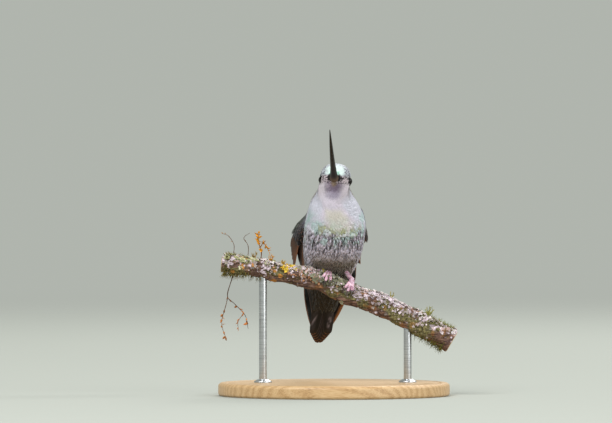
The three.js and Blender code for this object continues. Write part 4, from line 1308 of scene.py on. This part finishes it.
flakeShape = {"ends": (-41, 43.5), "sizes": (0.45, 1.1), "sides": 12, "tilt": 0.25, "frill": 0.14,
              # from ring to ring: the share of the radius, and the height as a share of it
              "ring": (0.12, 0.55, 0.96, 1.0, 0.9, 0.5, 0.12),
              "high": (0.0, 0.08, 0.30, 0.38, 0.36, 0.17, 0.10)}


def addFlakes():
    # Each flake is a shallow cup at a random turn. Its radius is lobed by the sines of three and
    # five turns, and its height by the sine of four, more towards the rim
    rows = strewn([patch[:8] for patch in flakes], draw, flakeShape["ends"], flakeShape["sizes"])
    standing = np.repeat([patch[8] for patch in flakes], [patch[4] for patch in flakes])
    count = len(rows)
    ahead, aside, out = perchFrame(rows[:, 0], rows[:, 1])
    spin = draw.uniform(0, 2 * np.pi, (count, 1))
    one = ahead * np.cos(spin) + aside * np.sin(spin)
    two = unit(np.cross(out, one) + flakeShape["tilt"] * draw.normal(0, 1, (count, 1)) * out)
    ring, high = (np.array(flakeShape[key])[None, :, None] for key in ("ring", "high"))
    turn = circle(flakeShape["sides"])[None, None, :]
    spin, size = spin[:, :, None], rows[:, 2, None, None]
    lobes = 1 + 0.28 * np.sin(3 * turn + spin) * ring + 0.14 * np.sin(5 * turn + 7 * spin) * ring
    wide = size * ring * lobes
    rise = size * (high + flakeShape["frill"] * ring * np.sin(4 * turn + 3 * spin))
    foot = perchPoint(rows[:, 0], rows[:, 1], standing)
    foot, one, two, out = (v[:, None, None] for v in (foot, one, two, out))
    rings = (foot + one * (wide * np.cos(turn))[..., None] + two * (wide * np.sin(turn))[..., None]
             + out * rise[..., None])
    writeMesh("branch_lichen", *manyTubes(rings), growth, "bark",
              fields={"plume": eachTube(rows[:, 3:], rings)})


blades = [
    (38, 5, 0, 34, 420, 2.0, "#8f8f3e", "#5a5c26"),
    (-40, 3.0, 5, 45, 300, 1.8, "#8a8440", "#55502a"),
    (-3, 4, 40, 22, 260, 0.9, "#77724a", "#474528"),
    (12, 14, 82, 25, 300, 0.8, "#756a48", "#463e28"),
    (-20, 12, 84, 25, 420, 1.0, "#7a6f3b", "#463f22"),
    (-14, 3, 20, 25, 120, 1.2, "#b0992f", "#7d6a22"),
    (40, 4, 175, 30, 240, 2.4, "#7d7a35", "#4b4a22"),
    (-38, 5, 170, 35, 300, 2.6, "#857a3c", "#4f4724"),
]
bladeShape = {"ends": (-41.2, 42.6), "sizes": (0.4, 1.15), "lean": 0.55, "bend": 0.35, "half": 0.11}


def stalkRings(paths, one, two, half, sides):
    # Circles round many paths at once: one and two are square to each path, half its thickness
    turn = circle(sides)
    return paths[:, :, None] + half[..., None, None] * (one * np.cos(turn)[:, None]
                                                        + two * np.sin(turn)[:, None])


def addBlades():
    # Thin spikes that lean over at random: foot + way * along + bend * the square of along,
    # thinning evenly towards the point
    rows = strewn(blades, draw, bladeShape["ends"], bladeShape["sizes"])
    count = len(rows)
    ahead, aside, out = perchFrame(rows[:, 0], rows[:, 1])
    lean = draw.normal(0, bladeShape["lean"], (count, 2))
    way = unit(out + ahead * lean[:, :1] + aside * lean[:, 1:])
    bend = unit(np.cross(way, draw.normal(0, 1, (count, 3))))
    side = np.cross(way, bend)
    q = np.linspace(0, 1, 5)[None, :, None]
    tall = rows[:, 2, None, None]
    path = (perchPoint(rows[:, 0], rows[:, 1], -0.1)[:, None] + way[:, None] * q * tall
            + bend[:, None] * bladeShape["bend"] * tall * q**2)
    thin = bladeShape["half"] * (1 - 0.85 * q) * (1 + 0.6 * np.sin(9 * q + rows[:, :1, None]))
    rings = stalkRings(path, bend[:, None, None], side[:, None, None], thin[..., 0], 3)
    writeMesh("branch_moss", *manyTubes(rings), growth, "bark",
              fields={"plume": eachTube(rows[:, 3:], rings)})


sprigs = [  # place along and round the branch, height, stems, tones
    (-25.0, 15, 3.0, 5, "#d39a35", "#9a6420"),
    (-31.0, 0, 3.2, 5, "#a8883c", "#6d5a2a"),
    (-5.0, 28, 2.6, 5, "#c9b63a", "#93852a"),
    (-20.0, 15, 3.0, 5, "#cfa733", "#946f22"),
    (34.0, 0, 4.0, 6, "#97923f", "#625f2a"),
    (20.0, 10, 2.6, 5, "#a59a5a", "#6d6538"),
]
sprigShape = {"fan": 0.42, "outwards": 0.4, "upright": 0.8, "bend": 0.22, "stem": 0.2, "taper": 0.75,
              "shoots": 5, "shoot": 0.13, "shootSpread": 0.75, "shootLong": (0.18, 0.42)}


def sprigPaths(x, angle, tall, stems, draw):
    # Stems fan out of one foot, foot + way * along + bend * the sine of along, and each carries
    # side shoots, which bend with its square. Returns their paths and half their thickness
    ahead, aside, out = perchFrame(np.array([x]), np.array([angle]))
    foot = perchPoint(np.array([x]), angle, -0.1)
    fan = draw.normal(0, sprigShape["fan"], (stems, 2))
    way = unit(out * sprigShape["outwards"] + np.array([0, 0, sprigShape["upright"]])
               + ahead * fan[:, :1] + aside * fan[:, 1:])
    bend = unit(np.cross(way, draw.normal(0, 1, (stems, 3))))
    long = tall * draw.uniform(0.55, 1.0, (stems, 1, 1))
    q = np.linspace(0, 1, 9)[None, :, None]
    stem = (foot[:, None] + way[:, None] * q * long
            + bend[:, None] * sprigShape["bend"] * long * np.sin(2.2 * q))
    shoots = sprigShape["shoots"]
    at = draw.integers(2, 8, (stems, shoots))
    start = stem[np.arange(stems)[:, None], at].reshape(-1, 1, 3)
    turn = draw.normal(0, sprigShape["shootSpread"], (stems * shoots, 3))
    way = unit(np.repeat(way, shoots, 0) + turn)[:, None]
    long = np.repeat(long, shoots, 0) * draw.uniform(*sprigShape["shootLong"], (stems * shoots, 1, 1))
    twist = unit(np.cross(way, draw.normal(0, 1, (stems * shoots, 1, 3))))
    shoot = start + way * q * long + twist * 0.3 * long * q**2
    half = np.repeat([sprigShape["stem"], sprigShape["shoot"]], [stems, stems * shoots])
    return np.concatenate([stem, shoot]), half[:, None]


def addSprigs():
    meshes, tints = [], []
    for i, (x, degrees, tall, stems, pale, deep) in enumerate(sprigs):
        paths, half = sprigPaths(x, math.radians(degrees), tall, stems, np.random.default_rng(70 + i))
        ahead = unit(np.gradient(paths, axis=1))
        side = unit(np.cross(ahead, (0.31, 0.93, 0.2)))
        q = np.linspace(0, 1, paths.shape[1])
        knots = 1 + 0.25 * np.sin(14 * q + np.arange(len(paths))[:, None])
        rings = stalkRings(paths, side[:, :, None], np.cross(ahead, side)[:, :, None],
                           half * (1 - sprigShape["taper"] * q) * knots, 5)
        meshes.append(manyTubes(rings))
        chance = np.random.default_rng(i).random((len(paths), 1))
        tints.append(eachTube(lerp(rgb(deep), rgb(pale), chance), rings))
    writeMesh("branch_sprigs", *joined(meshes), growth, "bark",
              fields={"plume": np.concatenate(tints)})


# Dry twigs that stand on the branch or hang from it, some set with small leaves: the places each
# passes through, half its thickness, its tone, and its leaves' tone, number and length
twigs = [
    ([(-28.1, 0.5, 51.0), (-27.8, 0, 55.0), (-28.5, -0.5, 58.8), (-29.2, -0.5, 61.8)],
     0.22, "#7a4a20", "#dc9424", 26, 1.7),
    ([(-28.0, 0, 56.4), (-27.0, -0.6, 58.6), (-25.8, -1.0, 57.0), (-24.8, -1.2, 54.4)],
     0.16, "#8a5522", "#cf8a24", 18, 1.4),
    ([(-33.0, 0.5, 51.5), (-32.8, 0.3, 57.0), (-34.0, 0, 60.0), (-32.3, -0.3, 61.9)],
     0.15, "#5b4030", "#8a6544", 5, 1.0),
    ([(-38.6, 0, 52.5), (-38.2, 0, 57.5), (-39.8, 0, 60.6), (-42.6, 0, 61.6)],
     0.14, "#5b4030", "#8a6544", 5, 1.0),
    ([(-38.0, -1, 47.2), (-40.6, -2, 38.5), (-37.6, -3, 35), (-34, -3, 30.6), (-32.4, -2.6, 25.5)],
     0.2, "#4e3a30", "#b0703c", 14, 1.7),
    ([(-40.4, -2, 38.0), (-41.6, -2.5, 33), (-42.4, -3, 27), (-41.0, -3, 21.0)],
     0.16, "#5a3f2e", "#bd7a3e", 14, 1.7),
    ([(-34.6, -3, 31.2), (-36.4, -3.2, 28.6), (-36.0, -3.4, 25.4)],
     0.13, "#5a3f2e", "#b0703c", 8, 1.4),
]
leaf = {"splay": 0.9, "sizes": (0.5, 1.1), "tones": (0.5, 1.25), "curl": 0.3, "half": 0.24,
        "stalk": 0.03, "cup": 0.25, "sides": 6}


def addTwigs():
    draw = np.random.default_rng(90)
    stems, stemTints, leaves, leafTints = [], [], [], []
    for passes, half, tone, leafTone, count, long in twigs:
        q = np.linspace(0, len(passes) - 1, 41)
        path = splineAt(passes, q) + 0.25 * np.stack([np.sin(2.6 * q), np.cos(3.1 * q), 0 * q], -1)
        stem = sweep(path, half * (1 - 0.6 * q / q[-1]) * (1 + 0.15 * np.sin(9 * q)), 6,
                     run=(0.2, 0.95, 0.1))
        stems.append(stem)
        stemTints.append(eachTube(rgb(tone)[None], stem[None]))
        # a leaf leaves the stem forwards and to one side, broadest in its middle and cupped
        at = draw.integers(12, 41, count)
        ahead = unit(np.gradient(path, axis=0))[at]
        way = unit(ahead + leaf["splay"] * draw.normal(0, 1, (count, 3)))
        flat = unit(np.cross(way, draw.normal(0, 1, (count, 3))))
        thin = np.cross(way, flat)
        size = long * draw.uniform(*leaf["sizes"], (count, 1, 1))
        s = np.linspace(0, 1, 7)[None, :, None]
        spine = (path[at][:, None] + way[:, None] * s * size
                 + thin[:, None] * leaf["curl"] * size * s**2)
        broad = size * (leaf["stalk"] + leaf["half"] * np.sin(np.pi * s**0.8))
        leaves.append(stalkRings(spine, flat[:, None, None], leaf["cup"] * thin[:, None, None],
                                 broad[..., 0], leaf["sides"]))
        leafTints.append(rgb(leafTone) * draw.uniform(*leaf["tones"], (count, 1)))
    leaves = np.concatenate(leaves)
    writeMesh("branch_twigs", *joined([joinTubes(stems), manyTubes(leaves)]), growth, "bark",
              fields={"plume": np.concatenate([*stemTints,
                                               eachTube(np.concatenate(leafTints), leaves)])})


addFlakes()
addBlades()
addSprigs()
addTwigs()
print("branch made")


def lathed(profile, middle, sides=160):
    # A profile of radius and height turned round the upright through middle
    angle = circle(sides)[None]
    radius, height = profile[:, :1], profile[:, 1:]
    return np.stack(np.broadcast_arrays(middle[0] + radius * np.cos(angle),
                                        middle[1] + radius * np.sin(angle), height), -1)


def rounded(corners, radius, steps=6):
    # A profile through corners, each inner one rounded by a parabola that starts and ends a
    # radius away from it, or nearly halfway along its sides where they are short
    corners = np.array(corners, float)
    made = [corners[:1]]
    for before, at, after in zip(corners[:-2], corners[1:-1], corners[2:]):
        one, two = unit(before - at), unit(after - at)
        q = np.linspace(0, 1, steps)[:, None]
        cut = min(radius, 0.45 * np.linalg.norm(before - at), 0.45 * np.linalg.norm(after - at))
        made.append((1 - q) ** 2 * (at + one * cut) + 2 * q * (1 - q) * at + q**2 * (at + two * cut))
    made.append(corners[-1:])
    return np.concatenate(made)


# The display base: a turned disc of ash, sanded, with a fine groove round its top, under oil
base = {"hole": 0.5, "chamfer": (0.6, 0.7), "edge": 0.9, "groove": 3.6, "grooveWide": 0.5,
        "grooveDeep": 0.35, "flat": 8, "rounding": 0.5}
_, (wide, _, top) = boxOf("stand_base")
groove, w, deep = wide - base["groove"], base["grooveWide"], top - base["grooveDeep"]
profile = rounded([
    (base["hole"], 0), (wide - base["chamfer"][0], 0), (wide, base["chamfer"][1]),
    (wide, top - base["edge"]), (wide - base["edge"], top), (groove + w, top),
    (groove + w * 0.4, deep), (groove - w * 0.4, deep), (groove - w, top),
    (groove - base["flat"], top), (base["hole"], top)], base["rounding"])
ash, tree, shader = newMaterial("oiled ash wood", Roughness=0.45, IOR=1.5, Coat_Weight=0.08,
                                Coat_Roughness=0.3)
bent = addNoise(tree, placeOn(tree, Location=(0.02, 0.011, 0), Scale=(9, 70, 70)))
# growth rings about 2.5 mm apart across the board, bent by the noise into long arches
ringAt = addMath(tree, "MULTIPLY", partsOf(tree, placeOn(tree))["Y"], 2 * math.pi / 0.0025)
year = addMath(tree, "SINE", addMath(tree, "MULTIPLY_ADD", bent, 34.0, ringAt))
# open pores are short dark dashes along the grain
pore = addNoise(tree, placeOn(tree, Scale=(350, 3800, 3800)))
mixed = addMath(tree, "MULTIPLY_ADD", year, 0.11, pore)
dress(tree, shader, toneOf(tree, mixed, (0.25, "#a07c52"), (0.45, "#b89467"), (0.65, "#c8a87d")),
      (pore, 0.2, 0.00006))
addTube("base_disc", lathed(profile, (0, 0), 200), ash, slot="base_wood", replaces=("stand_base",),
        sharp=40)

# Rods and collars: brushed stainless steel, with fine turned lines round them
steel, tree, shader = newMaterial("brushed steel", Metallic=1.0, Roughness=0.3)
brushed = addNoise(tree, placeOn(tree, Scale=(120, 120, 6000)), detail=3.0)
dress(tree, shader, toneOf(tree, brushed, (0.3, "#a6a8ab"), (0.7, "#d0d2d4")),
      Roughness=spreadTo(tree, brushed, 0.22, 0.42))
rod = {"pole": 0.1, "rounding": 0.3}
collar = {"clear": 0.02, "wide": 1.9, "neck": 0.5, "sunk": 0.3, "edge": 0.5, "high": 1.3,
          "rounding": 0.25, "sides": 72}
collars = []
for side in ("left", "right"):
    low, high = boxOf(f"stand_rod_{side}")
    middle, radius = (low + high) / 2, (high[0] - low[0]) / 2
    profile = rounded([(rod["pole"], low[2]), (radius, low[2]), (radius, high[2]),
                       (rod["pole"], high[2])], rod["rounding"])
    addTube(f"rod_{side}", lathed(profile, middle, 56), steel, slot="rod_steel",
            replaces=(f"stand_rod_{side}",), sharp=40)
    inner, outer = radius + collar["clear"], radius + collar["wide"]
    profile = rounded([(inner, top - collar["sunk"]), (outer, top - collar["sunk"]),
                       (outer, top + collar["edge"]), (radius + collar["neck"], top + collar["high"]),
                       (inner, top + collar["high"])], collar["rounding"])
    # each collar is a closed ring with the rod's hole through it
    collars.append((lathed(profile, middle, collar["sides"]).reshape(-1, 3),
                    sideFaces(len(profile), collar["sides"], closed=True), np.zeros((0, 3), int)))
writeMesh("rod_collars", *joined(collars), steel, "rod_steel", sharp=40)
print("stand made")

# The camera: level with the bird, far off, with the long lens that the view needs
view = {"aim": (-10.64, 0, 70), "distance": 3200, "elevation": 0.8, "wide": 232.56, "sensor": 36}
rise = math.radians(view["elevation"])
back = np.array([0, -math.cos(rise), math.sin(rise)])
camera = bpy.data.objects.new("camera", bpy.data.cameras.new("camera"))
camera.data.sensor_width = view["sensor"]
camera.data.lens = view["sensor"] * view["distance"] / view["wide"]
camera.data.clip_start, camera.data.clip_end = 0.05, 40
camera.location = (np.array(view["aim"]) + back * view["distance"]) * mm
camera.rotation_euler = (math.pi / 2 - rise, 0, 0)
scene = bpy.context.scene
scene.collection.objects.link(camera)
scene.camera = camera
scene.view_settings.view_transform = "Standard"

# A pale studio floor that fades into the air round it
studio = {"air": "#c3c8c0", "airLight": 0.8, "floor": "#a9aca6", "radius": 5000, "near": 500, "far": 1900}
scene.world = bpy.data.worlds.new("studio")
scene.world.use_nodes = True
air = scene.world.node_tree.nodes["Background"].inputs
air["Color"].default_value = linear(studio["air"])
air["Strength"].default_value = studio["airLight"]
paper = bpy.data.materials.new("seamless paper")
paper.use_nodes = True
tree = paper.node_tree
tree.nodes.clear()
matte = addNode(tree, "ShaderNodeBsdfDiffuse", {"Color": linear(studio["floor"])})
gone = addNode(tree, "ShaderNodeBsdfTransparent")
off = addNode(tree, "ShaderNodeVectorMath", {0: placeOn(tree)}, operation="LENGTH").outputs["Value"]
fade = addNode(tree, "ShaderNodeMapRange", {"Value": off, "From Min": studio["near"] * mm,
                                            "From Max": studio["far"] * mm},
               interpolation_type="SMOOTHERSTEP")
addNode(tree, "ShaderNodeOutputMaterial",
        {"Surface": addNode(tree, "ShaderNodeMixShader", {0: fade, 1: matte, 2: gone})})
angle = circle(96)
rim = np.stack([np.cos(angle), np.sin(angle), 0 * angle], -1) * studio["radius"] * mm
sheet = bpy.data.meshes.new("floor")
sheet.from_pydata(rim.tolist(), [], [list(range(len(rim)))])
sheet.materials.append(paper)
floor = bpy.data.objects.new("floor", sheet)
scene.collection.objects.link(floor)
floor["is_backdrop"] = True

# Soft round lamps, all turned to the bird
lampsAim = np.array([0, 0, 70.0])
lamps = {  # place in mm, size in mm, watts
    "key": ((-700, -1300, 1500), 1300, 42),
    "fill": ((1300, -1200, 600), 1500, 16),
    "back": ((500, 1200, 1300), 1000, 16),
    "side": ((1500, 250, 750), 350, 7),
}
for name, (at, size, watts) in lamps.items():
    light = bpy.data.lights.new(name, "AREA")
    light.shape, light.size, light.energy = "DISK", size * mm, watts
    lamp = bpy.data.objects.new(name, light)
    lamp.location = np.array(at) * mm
    way = lampsAim - at
    lamp.rotation_euler = (math.atan2(math.hypot(way[0], way[1]), -way[2]), 0,
                           math.atan2(-way[0], way[1]))
    scene.collection.objects.link(lamp)
print("camera and lights set")

size = {"cad": cadBox, "visual": [list(corner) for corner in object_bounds()]}
